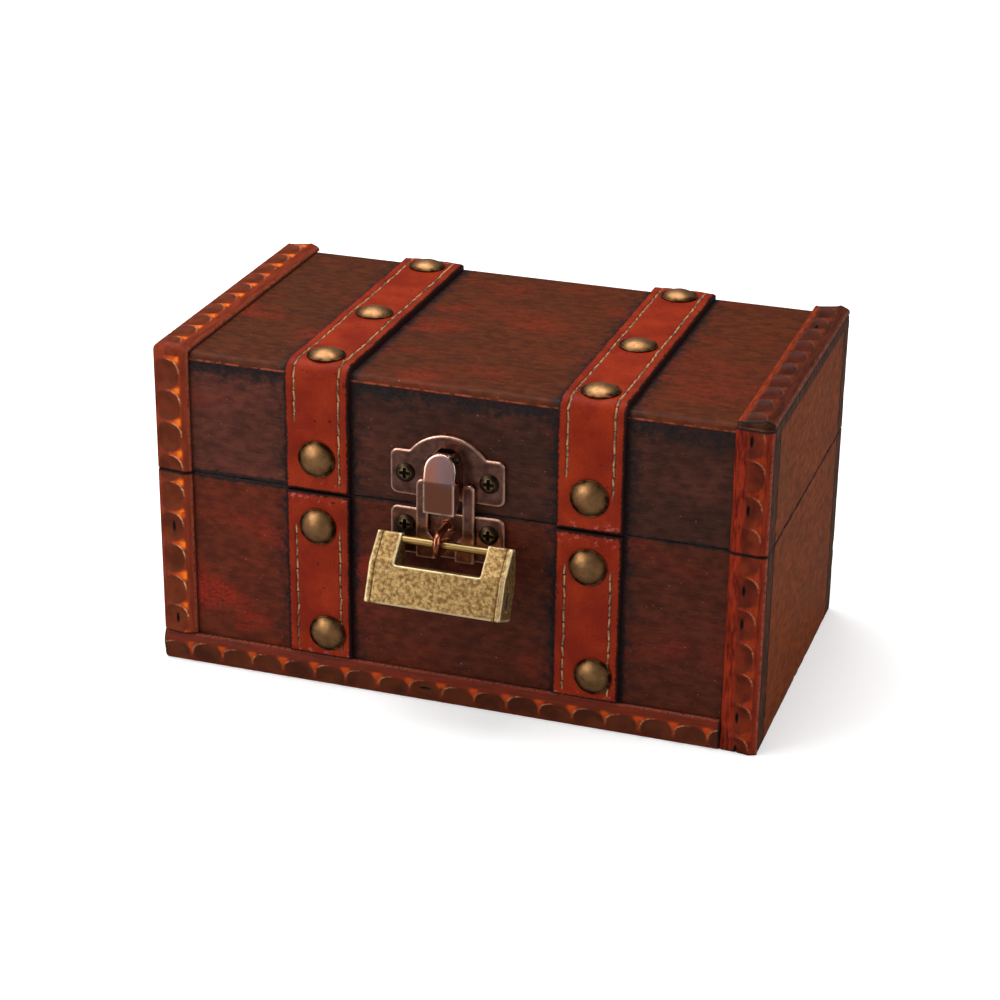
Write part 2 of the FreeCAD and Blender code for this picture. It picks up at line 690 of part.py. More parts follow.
def hasp_upper_plate():
    """An arched plate on the lid's front, with a lug for the tongue's pin.  The lug's neck is low, so that
    the tongue's front wall can turn over it."""
    plate = new_body("hasp_upper_plate")
    half = "plate_width / 2"
    foot = "parting_height + upper_plate_rise"
    ear = f"{foot} + upper_plate_height"
    corner = "plate_corner"
    arch = "(arch_chord ^ 2 / 4 + arch_rise ^ 2) / (2 * arch_rise)"
    face = new_sketch(plate, "face", "XZ_Plane", BACK)
    outline(face, [
        (f"{half} - {corner}", foot), (half, f"{foot} + {corner}", corner), (half, f"{ear} - {corner}"),
        (f"{half} - {corner}", ear, corner), ("arch_chord / 2", ear), ("-arch_chord / 2", ear, arch),
        (f"-{half} + {corner}", ear), (f"-{half}", f"{ear} - {corner}", corner),
        (f"-{half}", f"{foot} + {corner}"), (f"-{half} + {corner}", foot, corner)])
    pad(plate, face, "plate_thickness")
    lug = new_sketch(plate, "lug", "YZ_Plane")
    outline(lug, [
        (FRONT, f"{PIVOT_Z} - lug_radius"), (FRONT, f"{PIVOT_Z} + lug_neck_rise"),
        (f"{PIVOT_Y} + sqrt(lug_radius ^ 2 - lug_neck_rise ^ 2)", f"{PIVOT_Z} + lug_neck_rise"),
        (PIVOT_Y, f"{PIVOT_Z} + lug_radius", "lug_radius"),
        (f"{PIVOT_Y} - lug_radius", PIVOT_Z, "lug_radius"),
        (PIVOT_Y, f"{PIVOT_Z} - lug_radius", "lug_radius")])
    pad(plate, lug, "lug_width", "Symmetric")
    bore = new_sketch(plate, "pin_bore", "YZ_Plane")
    circle(bore, PIVOT_Y, PIVOT_Z, "tongue_pin + 2 * running_clearance")
    pocket(plate, bore, "plate_width", "Symmetric")
    screws = [(f"{across} - hasp_centre", up) for across, up in UPPER_SCREWS]
    drill(plate, "screw_holes", "XZ_Plane", f"{BACK} + plate_thickness + overrun", screws, SCREW_HOLE,
          "plate_thickness + 2 * overrun")
    return keep(locate(plate, "hasp_centre", "0", "0"))


def hasp_tongue():
    """A hood that swings on the lug: two cheeks and a front wall, the upper half leaning back to an arched
    top."""
    foot = "parting_height + tongue_foot_rise"
    fold = "parting_height + tongue_fold_rise"
    crest = f"{PIVOT_Z} + tongue_pivot_radius"
    front = f"{FRONT} - tongue_proud"
    top_front = f"{FRONT} - tongue_top_proud"
    back = f"{PIVOT_Y} + tongue_pivot_radius"
    tongue = prism("hasp_tongue", "YZ_Plane", [
        (front, foot), (f"{front} + tongue_foot_thickness", foot), (back, f"{foot} + tongue_back_rise"),
        (back, PIVOT_Z), (PIVOT_Y, crest, "tongue_pivot_radius"), (top_front, crest), (front, fold)],
        "tongue_width")
    spring_line = f"{crest} - tongue_width / 2"
    beside = "tongue_width / 2 + overrun"
    arch = new_sketch(tongue, "arch", "XZ_Plane", BACK)
    outline(arch, [
        (f"-({beside})", spring_line), ("-tongue_width / 2", spring_line),
        ("0", crest, "tongue_width / 2", "hollow"),
        ("tongue_width / 2", spring_line, "tongue_width / 2", "hollow"), (beside, spring_line),
        (beside, f"{crest} + overrun"), (f"-({beside})", f"{crest} + overrun")])
    pocket(tongue, arch, "2 * tongue_proud + 2 * overrun", "Symmetric")
    inner = f"{front} + tongue_wall"
    top_inner = f"{top_front} + tongue_wall"
    behind = f"{back} + overrun"
    slot = new_sketch(tongue, "slot", "YZ_Plane")
    outline(slot, [
        (inner, f"{foot} - overrun"), (behind, f"{foot} - overrun"), (behind, f"{crest} + overrun"),
        (top_inner, f"{crest} + overrun"), (top_inner, crest), (inner, fold)])
    pocket(tongue, slot, "lug_width + 2 * slot_clearance", "Symmetric")
    bore = new_sketch(tongue, "pin_bore", "YZ_Plane")
    circle(bore, PIVOT_Y, PIVOT_Z, "tongue_pin + 2 * running_clearance")
    pocket(tongue, bore, "tongue_width + 2 * overrun", "Symmetric")
    return keep(locate(tongue, "hasp_centre", "0", "0"))


def hasp_tongue_pin():
    pin = new_body("hasp_tongue_pin")
    section = new_sketch(pin, "section", "YZ_Plane")
    circle(section, "0", "0", "tongue_pin")
    pad(pin, section, "tongue_width - 2 * tongue_pin_inset", "Symmetric")
    return keep(locate(pin, "hasp_centre", PIVOT_Y, PIVOT_Z))


STAPLE_Z = "parting_height - staple_drop"
STAPLE_LOW_Z = f"{STAPLE_Z} - 2 * staple_bow"


def hasp_lower_plate():
    """A plate on the base's front with two raised prongs that stand up beside the tongue."""
    plate = new_body("hasp_lower_plate")
    half, corner = "plate_width / 2", "plate_corner"
    head = "parting_height - lower_plate_drop"
    foot = f"{head} - lower_plate_height"
    face = new_sketch(plate, "face", "XZ_Plane", BACK)
    outline(face, [
        (f"{half} - {corner}", foot), (half, f"{foot} + {corner}", corner), (half, f"{head} - {corner}"),
        (f"{half} - {corner}", head, corner), (f"-{half} + {corner}", head),
        (f"-{half}", f"{head} - {corner}", corner), (f"-{half}", f"{foot} + {corner}"),
        (f"-{half} + {corner}", foot, corner)])
    pad(plate, face, "plate_thickness")
    inner, outer = "prong_gap / 2", "prong_gap / 2 + prong_width"
    narrow = "funnel_gap / 2"
    throat = f"{head} - funnel_drop"
    neck = f"{throat} - funnel_height"
    tip = "parting_height + prong_rise"
    round_tip = "prong_width / 2"
    for name, base, thickness, top in (
            ("root", "plate_thickness", "prong_clearance", head),
            ("prong", "plate_thickness + prong_clearance", "prong_thickness", f"{tip} - {round_tip}")):
        sketch = new_sketch(plate, name, "XZ_Plane", f"{BACK} + {base}")
        right = [(narrow, foot), (outer, foot), (outer, top), (inner, top), (inner, throat), (narrow, neck)]
        if name == "prong":
            right[3:4] = [(f"{inner} + {round_tip}", tip, round_tip), (inner, top, round_tip)]
        outline(sketch, right)
        outline(sketch, mirrored(right))
        pad(plate, sketch, thickness)
    screws = [(f"{across} - hasp_centre", up) for across, up in LOWER_SCREWS]
    through = "plate_thickness + prong_clearance + prong_thickness"
    drill(plate, "screw_holes", "XZ_Plane", f"{BACK} + {through} + overrun", screws, SCREW_HOLE,
          f"{through} + 2 * overrun")
    drill(plate, "staple_holes", "XZ_Plane", f"{BACK} + {through} + overrun",
          [("0", STAPLE_Z), ("0", STAPLE_LOW_Z)], "staple_wire + 2 * running_clearance",
          f"{through} + 2 * overrun")
    return keep(locate(plate, "hasp_centre", "0", "0"))


def hasp_staple():
    """A bent wire riveted through the lower plate, that the padlock's bar hangs in."""
    staple = new_body("hasp_staple")
    bend = f"{FRONT} - bar_forward"
    path = new_sketch(staple, "path", "YZ_Plane")
    chain(path, [
        (FRONT, STAPLE_LOW_Z), (bend, STAPLE_LOW_Z),
        (f"{bend} - staple_bow", f"{STAPLE_LOW_Z} + staple_bow", "staple_bow", "hollow"),
        (bend, STAPLE_Z, "staple_bow", "hollow"), (FRONT, STAPLE_Z)], False)
    section = new_sketch(staple, "section", "XZ_Plane", BACK)
    circle(section, "0", STAPLE_LOW_Z, "staple_wire")
    pipe = staple.newObject("PartDesign::AdditivePipe", "staple_pipe")
    pipe.Profile = section
    pipe.Spine = (path, [])
    return keep(locate(staple, "hasp_centre", "0", "0"))


# Padlock, drawn about its bar's axis and hung on the staple with its foot swung outwards

LOCK_TOP = "bar_below_top"
LOCK_FOLD = "bar_below_top - lock_taper_height"
LOCK_FOOT = "bar_below_top - lock_taper_height - lock_lower_height"
LOCK_MIDDLE = f"{LOCK_FOLD} - lock_lower_height / 2"
LOCK_END = "lock_width / 2 - lock_end_plate"
LOCK_SECTION = [
    ("-lock_thickness / 2", LOCK_FOOT), ("lock_thickness / 2", LOCK_FOOT), ("lock_thickness / 2", LOCK_FOLD),
    ("lock_top_thickness / 2", LOCK_TOP), ("-lock_top_thickness / 2", LOCK_TOP),
    ("-lock_thickness / 2", LOCK_FOLD)]
BAR_Y = f"{FRONT} - bar_forward"
BAR_Z = f"{STAPLE_LOW_Z} + staple_wire / 2 + bar_diameter / 2 + bar_lift"


def hang(piece):
    """Hang a piece of the padlock, drawn about the bar, at the bar's place."""
    tilt = FreeCAD.Rotation(RIGHT, -number("lock_tilt"))
    return keep(locate(piece, "lock_centre", BAR_Y, BAR_Z, tilt))


def lock_body():
    """A bar that is parallel below and tapers above, notched between two end blocks, bored for the bar
    and hollow for the bolt."""
    body = prism("lock_body", "YZ_Plane", LOCK_SECTION, f"2 * ({LOCK_END})")
    notch = new_sketch(body, "notch", "XZ_Plane")
    rectangle(notch, "-lock_notch / 2", "lock_notch / 2", LOCK_FOLD, f"{LOCK_TOP} + overrun")
    pocket(body, notch, "lock_thickness + 2 * overrun", "Symmetric")
    bore = new_sketch(body, "bar_bore", "YZ_Plane")
    circle(bore, "0", "0", "bar_diameter + 2 * running_clearance")
    pocket(body, bore, "lock_width", "Symmetric")
    cavity = new_sketch(body, "cavity", "YZ_Plane")
    rectangle(cavity, "-cavity_width / 2", "cavity_width / 2",
              f"{LOCK_MIDDLE} - cavity_height / 2", f"{LOCK_MIDDLE} + cavity_height / 2")
    pocket(body, cavity, "lock_width", "Symmetric")
    return hang(body)


def lock_end(label, start):
    """An end plate with the padlock's full section."""
    plate = new_body(label)
    section = new_sketch(plate, "section", "YZ_Plane", start)
    outline(section, LOCK_SECTION)
    pad(plate, section, "lock_end_plate")
    return plate


def lock_key_plate():
    plate = lock_end("lock_key_plate", LOCK_END)
    keyhole = new_sketch(plate, "keyhole", "YZ_Plane", "lock_width / 2 + overrun")
    rectangle(keyhole, "-keyhole_width / 2", "keyhole_width / 2",
              f"{LOCK_MIDDLE} - keyhole_height / 2", f"{LOCK_MIDDLE} + keyhole_height / 2")
    pocket(plate, keyhole, "lock_end_plate + 2 * overrun")
    return hang(plate)


def lock_bolt():
    """What slides out to the left: an end plate, the bar above, and a spine with two leaf springs inside."""
    hang(lock_end("lock_bolt_plate", "-lock_width / 2"))

    bar = new_body("lock_shackle_bar")
    section = new_sketch(bar, "section", "YZ_Plane", f"-({LOCK_END})")
    circle(section, "0", "0", "bar_diameter")
    pad(bar, section, f"2 * ({LOCK_END}) - bar_end_gap")
    hang(bar)

    spine = new_body("lock_spine")
    section = new_sketch(spine, "section", "YZ_Plane", f"-({LOCK_END})")
    rectangle(section, "-spine_thickness / 2", "spine_thickness / 2",
              f"{LOCK_MIDDLE} - spine_height / 2", f"{LOCK_MIDDLE} + spine_height / 2")
    pad(spine, section, "spine_length")
    hang(spine)

    leaf = new_body("spring_leaf")
    plan = new_sketch(leaf, "plan", "XY_Plane")
    side = "spine_thickness / 2"
    outline(plan, [
        ("0", side), ("0", f"{side} + spring_thickness"), ("-spring_root", f"{side} + spring_thickness"),
        ("-spring_length", f"{side} + spring_thickness + spring_spread"),
        ("-spring_length", f"{side} + spring_spread"), ("-spring_root", side)])
    pad(leaf, plan, "spring_height", "Symmetric")
    doc.recompute()
    tip = vector(f"-({LOCK_END}) + spine_length", "0", LOCK_MIDDLE)
    turns = [FreeCAD.Placement(tip, FreeCAD.Rotation(RIGHT, turn)) for turn in (0, 180)]
    hung = doc.getObject("lock_spine").Placement
    copies("lock_spring_leaves", [(leaf, hung.multiply(turn)) for turn in turns])


# Back hinges: two leaves with interleaved knuckles on one pin

HINGE_Y = f"{BACK} + knuckle_radius + running_clearance"
KNUCKLES_PER_HINGE = 3
KNUCKLE = f"hinge_length / {KNUCKLES_PER_HINGE}"
OUTER_KNUCKLES = [("-hinge_length / 2", f"-{KNUCKLE} / 2 - knuckle_gap / 2"),
                  (f"{KNUCKLE} / 2 + knuckle_gap / 2", "hinge_length / 2")]
MIDDLE_KNUCKLE = [(f"-{KNUCKLE} / 2 + knuckle_gap / 2", f"{KNUCKLE} / 2 - knuckle_gap / 2")]


def hinge_leaf(label, middle, above, knuckle_spans):
    """One leaf and its knuckles, drawn about the pin's axis with the back of the box on its near side."""
    leaf = new_body(label)
    near = "-knuckle_radius - running_clearance"
    far = f"{near} + hinge_thickness"
    clear = "knuckle_radius + knuckle_gap"
    reach = "hinge_pin / 2 + knuckle_gap"
    sign = "" if above else "-"
    plate = new_sketch(leaf, "plate", "XZ_Plane", f"-({far})")
    ends = (f"{sign}({clear})", f"{sign}hinge_leaf")
    low, high = ends if above else ends[::-1]
    rectangle(plate, "-hinge_length / 2", "hinge_length / 2", low, high)
    pad(leaf, plate, "hinge_thickness")
    for index, (start, finish) in enumerate(knuckle_spans):
        tab = new_sketch(leaf, f"tab_{index}", "XZ_Plane", f"-({far})")
        tab_ends = (f"{sign}({reach})", f"{sign}({clear})")
        low, high = tab_ends if above else tab_ends[::-1]
        rectangle(tab, start, finish, low, high)
        pad(leaf, tab, "hinge_thickness")
        knuckle = new_sketch(leaf, f"knuckle_{index}", "YZ_Plane", start)
        circle(knuckle, "0", "0", "2 * knuckle_radius")
        circle(knuckle, "0", "0", "hinge_pin + 2 * running_clearance")
        pad(leaf, knuckle, f"({finish}) - ({start})")
    screws = [(f"{side} hinge_screw_spacing / 2", f"{sign}hinge_screw_reach") for side in "-+"]
    drill(leaf, "screw_holes", "XZ_Plane", f"-({far}) - overrun", screws, HINGE_SCREW_HOLE,
          "hinge_thickness + 2 * overrun", back=True)
    return keep(locate(leaf, middle, HINGE_Y, "parting_height"))


def hinges():
    for side, middle in HINGES.items():
        hinge_leaf(f"hinge_base_leaf_{side}", middle, False, OUTER_KNUCKLES)
        hinge_leaf(f"hinge_lid_leaf_{side}", middle, True, MIDDLE_KNUCKLE)
        pin = new_body(f"hinge_pin_{side}")
        section = new_sketch(pin, "section", "YZ_Plane")
        circle(section, "0", "0", "hinge_pin")
        pad(pin, section, "hinge_length", "Symmetric")
        keep(locate(pin, middle, HINGE_Y, "parting_height"))


base_panels()
lid_panels()
for trim_label, trim_values in TRIMS.items():
    edge_trim(trim_label, trim_values)
for strap_side, strap_middle in STRAPS.items():
    base_strap(strap_side, strap_middle)
    lid_strap(strap_side, strap_middle)
fasteners()
hasp_upper_plate()
hasp_tongue()
hasp_tongue_pin()
hasp_lower_plate()
hasp_staple()
lock_body()
lock_key_plate()
lock_bolt()
hinges()
doc.recompute()

for thing in doc.Objects:
    if "Invalid" in thing.State or "Error" in thing.State:
        raise RuntimeError(f"{thing.Label} did not build: {thing.State}")
for sub_part in sub_parts:
    if sub_part.Shape.isNull() or not sub_part.Shape.isValid() or not sub_part.Shape.Solids:
        raise RuntimeError(f"{sub_part.Label} has no valid solid")

os.makedirs("parts", exist_ok=True)
for sub_part in sub_parts:
    sub_part.Shape.exportStep(f"parts/{sub_part.Label}.step")
print(f"{len(sub_parts)} pieces, {sum(len(sub_part.Shape.Solids) for sub_part in sub_parts)} solids")
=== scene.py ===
import itertools
import math

import bmesh
import bpy
import numpy as np
from mathutils import Matrix, Vector, noise
from mathutils.bvhtree import BVHTree


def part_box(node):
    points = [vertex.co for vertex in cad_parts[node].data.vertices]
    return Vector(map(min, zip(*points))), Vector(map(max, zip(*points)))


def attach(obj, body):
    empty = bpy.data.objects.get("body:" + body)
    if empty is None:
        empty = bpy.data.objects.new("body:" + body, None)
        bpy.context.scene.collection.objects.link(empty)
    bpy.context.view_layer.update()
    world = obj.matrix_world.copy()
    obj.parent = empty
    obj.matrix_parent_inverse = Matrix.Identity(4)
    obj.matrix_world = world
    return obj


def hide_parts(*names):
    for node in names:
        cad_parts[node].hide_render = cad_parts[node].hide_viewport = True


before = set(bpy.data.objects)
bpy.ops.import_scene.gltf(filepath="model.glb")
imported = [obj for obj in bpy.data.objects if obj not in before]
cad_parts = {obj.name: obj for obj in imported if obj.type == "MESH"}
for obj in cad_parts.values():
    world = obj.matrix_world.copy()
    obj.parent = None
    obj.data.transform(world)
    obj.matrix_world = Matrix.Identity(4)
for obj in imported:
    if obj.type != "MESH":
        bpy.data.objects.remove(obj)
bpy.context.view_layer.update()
MM = 0.001


# Boards of the base and the lid.  Thin softwood boards, butted and glued at the corners, brushed with a dark
# red-brown stain and rubbed back by hand.  Their edges are knocked ragged and round, and old black glaze
# stays along the seam, beside the straps and under the worn front edge of the top; beside the straps it is
# joined by painted shadow.  The stain's tone shifts from left to right, partly stain and partly painted light
# falling from the left.

ARRIS = 0.4 * MM
ARRIS_LINES = np.array([0.0, 0.12, 0.3, 0.5, 0.7, 0.9, 1.15, 1.4, 2.0]) * MM
BOARD_STEP = 1.6 * MM
CHIP_LENGTH = 2.6 * MM
CHIP_START = 0.25
CHIP_DEPTH = 1.2 * MM
TOP_EDGE = 2.0 * MM
JOINT_REACH = 1.0 * MM
WORN_FALL = 1.7 * MM
WORN_HALF = 0.3 * MM
BAND_START = 0.3 * MM
BAND_REACH = 8.0 * MM
EDGE_REACH = 1.1 * MM
BESIDE_REACH = 6.0 * MM
BESIDE_SHARE = 0.62
CLOSE_REACH = 1.3 * MM
CLOSE_SHARE = 1.4
SEAM_REACH = 1.8 * MM
SEAM_SHARE = 1.6
MERGE = 0.002 * MM
CREASE = math.radians(40)


def corners(node):
    """The low and the high corner of a node's box."""
    return [np.array(corner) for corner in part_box(node)]


LID_LOW, LID_HIGH = corners("lid_top_panel")
SEAM_LEVEL = corners("lid_front_rail")[0][2]
STRAP_SPANS = [[corner[0] for corner in corners(f"base_strap_{side}")] for side in ("left", "right")]


def linear(code):
    """A colour written as sRGB hex, in linear red, green, blue and alpha."""
    parts = [int(code[place:place + 2], 16) / 255 for place in (1, 3, 5)]
    return [part / 12.92 if part <= 0.04045 else ((part + 0.055) / 1.055) ** 2.4 for part in parts] + [1.0]


def add(tree, kind, inputs=None, out=0, **settings):
    """Adds one node, sets its properties, sets or links its inputs, and gives back one of its outputs."""
    node = tree.nodes.new(kind)
    for name, value in settings.items():
        setattr(node, name, value)
    for name, value in (inputs or {}).items():
        if isinstance(value, bpy.types.NodeSocket):
            tree.links.new(value, node.inputs[name])
        else:
            node.inputs[name].default_value = value
    return node.outputs[out] if node.outputs else node


RANGE = "ShaderNodeMapRange"
MATH = "ShaderNodeMath"
MIX = "ShaderNodeMixRGB"
SOFT = {"interpolation_type": "SMOOTHSTEP"}
TIMES = {"operation": "MULTIPLY"}


def new_material(name, *words):
    """A new material, its empty tree and, for each word, the value that points keep under it."""
    material = bpy.data.materials.new(name)
    material.use_nodes = True
    tree = material.node_tree
    tree.nodes.clear()
    kept = [add(tree, "ShaderNodeAttribute", attribute_name=word, out="Fac") for word in words]
    return material, tree, *kept


def surfaced(material, sockets):
    """Ends a material with one shader and gives it back."""
    shader = add(material.node_tree, "ShaderNodeBsdfPrincipled", sockets)
    add(material.node_tree, "ShaderNodeOutputMaterial", {"Surface": shader})
    return material


def matt(material, colour, roughness, shine, relief, depth, rise):
    """Ends a material with a dull skin in slight relief and gives it back."""
    bump = add(material.node_tree, "ShaderNodeBump", {"Strength": relief, "Distance": depth, "Height": rise})
    return surfaced(material, {"Base Color": colour, "Roughness": roughness, "Normal": bump,
                               "Specular IOR Level": shine})


def running(length, width, axis):
    """Sizes along X, Y and Z of a grain that is long along one axis."""
    return [length if place == axis else width for place in range(3)]


def patches(tree, sizes, start, finish, seed, detail=2.0):
    """A soft mask cut between two levels from noise, with grains of one size or of one size per axis."""
    place = add(tree, "ShaderNodeTexCoord", out="Object")
    shrink = [1 / size for size in np.broadcast_to(sizes, 3)]
    scaled = add(tree, "ShaderNodeVectorMath", {0: place, 1: shrink}, **TIMES)
    moved = add(tree, "ShaderNodeVectorMath", {0: scaled, 1: (seed, seed, seed)})
    grain = add(tree, "ShaderNodeTexNoise", {"Vector": moved, "Scale": 1.0, "Detail": detail})
    return add(tree, RANGE, {"Value": grain, "From Min": start, "From Max": finish}, **SOFT)


def coats(tree, colour, *layers):
    """Lays colours, codes or sockets, over a first one, each through the product of its masks."""
    for over, share, *masks in layers:
        for mask in masks:
            share = add(tree, MATH, {0: share, 1: mask}, **TIMES)
        under, over = (linear(tone) if isinstance(tone, str) else tone for tone in (colour, over))
        colour = add(tree, MIX, {"Fac": share, "Color1": under, "Color2": over})
    return colour


def put(name, data):
    """A new object in the scene that shows this data."""
    thing = bpy.data.objects.new(name, data)
    bpy.context.scene.collection.objects.link(thing)
    return thing


def keep(mesh, values):
    """Keeps named values on the points of a mesh."""
    for word, numbers in values.items():
        kept = mesh.attributes.new(word, "FLOAT", "POINT")
        kept.data.foreach_set("value", np.asarray(numbers, np.float32).ravel())


def welded(mesh):
    """A mesh opened for work, with its double points merged."""
    work = bmesh.new()
    work.from_mesh(mesh)
    bmesh.ops.remove_doubles(work, verts=work.verts, dist=MERGE)
    return work


def put_mesh(name, points, faces, values=None):
    """A mesh object from points and faces, doubles merged, faces outward, with values kept on its points."""
    mesh = bpy.data.meshes.new(name)
    mesh.from_pydata([tuple(point) for point in points], [], faces)
    keep(mesh, values or {})
    work = welded(mesh)
    bmesh.ops.recalc_face_normals(work, faces=work.faces)
    for face in work.faces:
        face.smooth = True
    work.to_mesh(mesh)
    work.free()
    mesh.set_sharp_from_angle(angle=CREASE)
    return put(name, mesh)


def settle(piece, body, slot, nodes, *materials):
    """Gives a finished piece its materials and its body, and hides the nodes it stands for.  The slot is not
    used.
    """
    for material in materials:
        piece.data.materials.append(material)
    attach(piece, body)
    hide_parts(*nodes)
    return piece


def body_of(node):
    """The first word of a node's name tells its body, base or lid."""
    return node.split("_")[0]


def fade(distance, reach):
    """1 at no distance, falling evenly to 0 at the reach."""
    return np.clip(1 - distance / reach, 0, 1)


def spaced(low, high, step):
    """Even places from low to high, about a step apart."""
    return np.linspace(low, high, max(2, math.ceil((high - low) / step)))


def board_lines(low, high):
    """Grid lines across a board, close together at both ends where the edge is rounded."""
    near = ARRIS_LINES[ARRIS_LINES < (high - low) / 2]
    inner = spaced(low + near[-1], high - near[-1], BOARD_STEP)
    return np.concatenate([low + near[:-1], inner, (high - near[:-1])[::-1]])


def board_shell(low, high):
    """Points and faces of a box's six gridded sides."""
    points, faces = [], []
    for axis in range(3):
        across, up = (board_lines(low[way], high[way]) for way in range(3) if way != axis)
        for level in (low[axis], high[axis]):
            start = len(points)
            points += [[*pair[:axis], level, *pair[axis:]] for pair in itertools.product(across, up)]
            for row in range(len(across) - 1):
                for column in range(len(up) - 1):
                    corner = start + row * len(up) + column
                    faces.append((corner, corner + 1, corner + len(up) + 1, corner + len(up)))
    return np.array(points), faces


def eased_points(points, low, high, radius, axes=(0, 1, 2)):
    """Points of a box drawn in to its rounded edges, those that run across the given axes."""
    radius = radius[:, None]
    core = points.copy()
    for axis in axes:
        core[:, [axis]] = np.clip(points[:, [axis]], low[axis] + radius, high[axis] - radius)
    reach = points - core
    length = np.maximum(np.linalg.norm(reach, axis=1), MERGE)[:, None]
    return core + reach * np.minimum(1.0, radius / length)


def board(node):
    """A board with ragged, rounded edges that takes the place of a plain one.  Its points keep how much
    glaze has gathered on them, together with painted shadow beside the straps, and how far the front edge of
    the top is rubbed bare."""
    low, high = corners(node)
    points, faces = board_shell(low, high)
    rough = np.array([noise.noise(Vector(point) / CHIP_LENGTH) for point in points])
    radius = ARRIS * (1 + rough / 2) + CHIP_DEPTH * np.maximum(0.0, rough - CHIP_START)
    radius = np.where(np.abs(points[:, 2] - LID_LOW[2]) < JOINT_REACH, MERGE, radius)
    radius = np.clip(radius, MERGE, (high - low).min() / 2 - MERGE)
    if node == "lid_top_panel":
        deep_low = low - np.array([0.0, 0.0, 2 * TOP_EDGE])
        points = eased_points(points, deep_low, high, np.full(len(points), TOP_EDGE), (1, 2))
    points = eased_points(points, low, high, radius)
    walls = np.concatenate([points - low, high - points], axis=1)
    joined = np.abs(np.array([low[2], high[2]]) - LID_LOW[2]) < MERGE
    walls[:, [2, 5]] = np.where(joined, TOP_EDGE, walls[:, [2, 5]])
    edge = np.sort(walls, axis=1)[:, 1]
    fall = LID_HIGH[2] - points[:, 2]
    in_front = points[:, 1] - LID_LOW[1] < TOP_EDGE
    lid_front = in_front & node.startswith("lid")
    edge = np.where(lid_front & (fall < TOP_EDGE), TOP_EDGE, edge)
    below = fall - WORN_FALL
    band = lid_front * np.clip(below / BAND_START, 0, 1) * fade(below, BAND_REACH)
    gap = np.minimum(*[np.maximum(left - points[:, 0], points[:, 0] - right) for left, right in STRAP_SPANS])
    shown = in_front | (fall < MERGE)
    # Beside the straps: gathered glaze, and a close dark line that is painted shadow of the straps' sides.
    beside = shown * np.maximum(BESIDE_SHARE * fade(gap, BESIDE_REACH), CLOSE_SHARE * fade(gap, CLOSE_REACH))
    at_left = in_front * (points[:, 0] < STRAP_SPANS[0][1])
    seam = at_left * SEAM_SHARE * fade(np.abs(points[:, 2] - SEAM_LEVEL), SEAM_REACH)
    grime_and_shade = np.max([fade(edge, EDGE_REACH), band, beside, seam], axis=0)
    rubbed = lid_front * np.exp(-(below / WORN_HALF) ** 2)
    name = node.replace("panel", "board").replace("rail", "board")
    return put_mesh(name, points, faces, {"grime_and_shade": grime_and_shade, "rubbed": rubbed})


# Black of soot, glaze and dark joints, also used as painted shade in slits, cuts and screw slots.
SOOT_AND_SHADE = "#161112"


def stained_wood(name, left, right, red, axis, red_start, red_right, shine):
    """Softwood under brushed stain: dull and finely grained, of one tone at the left and another at the
    right, partly stain and partly painted light falling from the left, rubbed red in patches, with pale
    nicks, blue-black under glaze and painted shadow beside the straps, bare along the worn edge."""
    material, tree, grime_and_shade, rubbed = new_material(name, "grime_and_shade", "rubbed")
    place = add(tree, "ShaderNodeTexCoord", out="Object")
    across = add(tree, "ShaderNodeSeparateXYZ", {"Vector": place}, out="X")
    # Tone from left to right: partly stain and partly painted light, lighter at the left of the front as
    # light falls from the left, darker on the left side panel to offset the left lamp.
    toward = add(tree, RANGE, {"Value": across, "From Min": 0.8 * LID_LOW[0], "From Max": 0.2 * LID_HIGH[0]})
    blotch = patches(tree, running(26 * MM, 15 * MM, axis), 0.25, 0.75, 1.3, 5.0)
    mottle = patches(tree, running(3.0 * MM, 1.6 * MM, axis), 0.28, 0.72, 2.7, 4.0)
    fibre = patches(tree, running(7.0 * MM, 0.45 * MM, axis), 0.25, 0.75, 3.1, 3.0)
    scuff = patches(tree, running(24 * MM, 14 * MM, axis), red_start, red_start + 0.22, 4.9, 8.0)
    grit = patches(tree, running(1.2 * MM, 0.7 * MM, axis), 0.3, 0.65, 5.3, 3.0)
    nick = patches(tree, running(0.8 * MM, 0.7 * MM, axis), 0.71, 0.78, 5.5)
    ragged = patches(tree, 2.0 * MM, 0.2, 0.8, 6.1, 5.0)
    share = add(tree, MATH, {0: blotch, 1: 0.9, 2: toward}, operation="MULTIPLY_ADD")
    share = add(tree, RANGE, {"Value": share, "From Min": 0.3, "From Max": 1.5})
    colour = coats(tree, left, (right, share))
    for mask, strength in ((mottle, 0.42), (fibre, 0.26)):
        colour = add(tree, MIX, {"Fac": strength, "Color1": colour, "Color2": mask}, blend_type="MULTIPLY")
    handled = add(tree, RANGE, {"Value": toward, "To Min": 0.85, "To Max": red_right})
    uneven = add(tree, MATH, {0: ragged, 1: 0.8, 2: grime_and_shade}, operation="MULTIPLY_ADD")
    # Blue-black from glaze, and painted shadow beside the straps.
    sooty_and_shaded = add(tree, RANGE, {"Value": uneven, "From Min": 0.55, "From Max": 1.3, "To Max": 0.94}, **SOFT)
    bare = add(tree, MATH, {0: rubbed, 1: ragged}, **TIMES)
    bare = add(tree, RANGE, {"Value": bare, "From Min": 0.2, "From Max": 0.65, "To Max": 0.85})
    colour = coats(tree, colour, (red, scuff, grit, handled), ("#a8826c", nick, 0.4),
                   (coats(tree, SOOT_AND_SHADE, ("#241c1d", grit)), sooty_and_shaded), ("#93432f", bare))
    return matt(material, colour, roughness=0.5, shine=shine, relief=0.5, depth=0.05 * MM, rise=mottle)


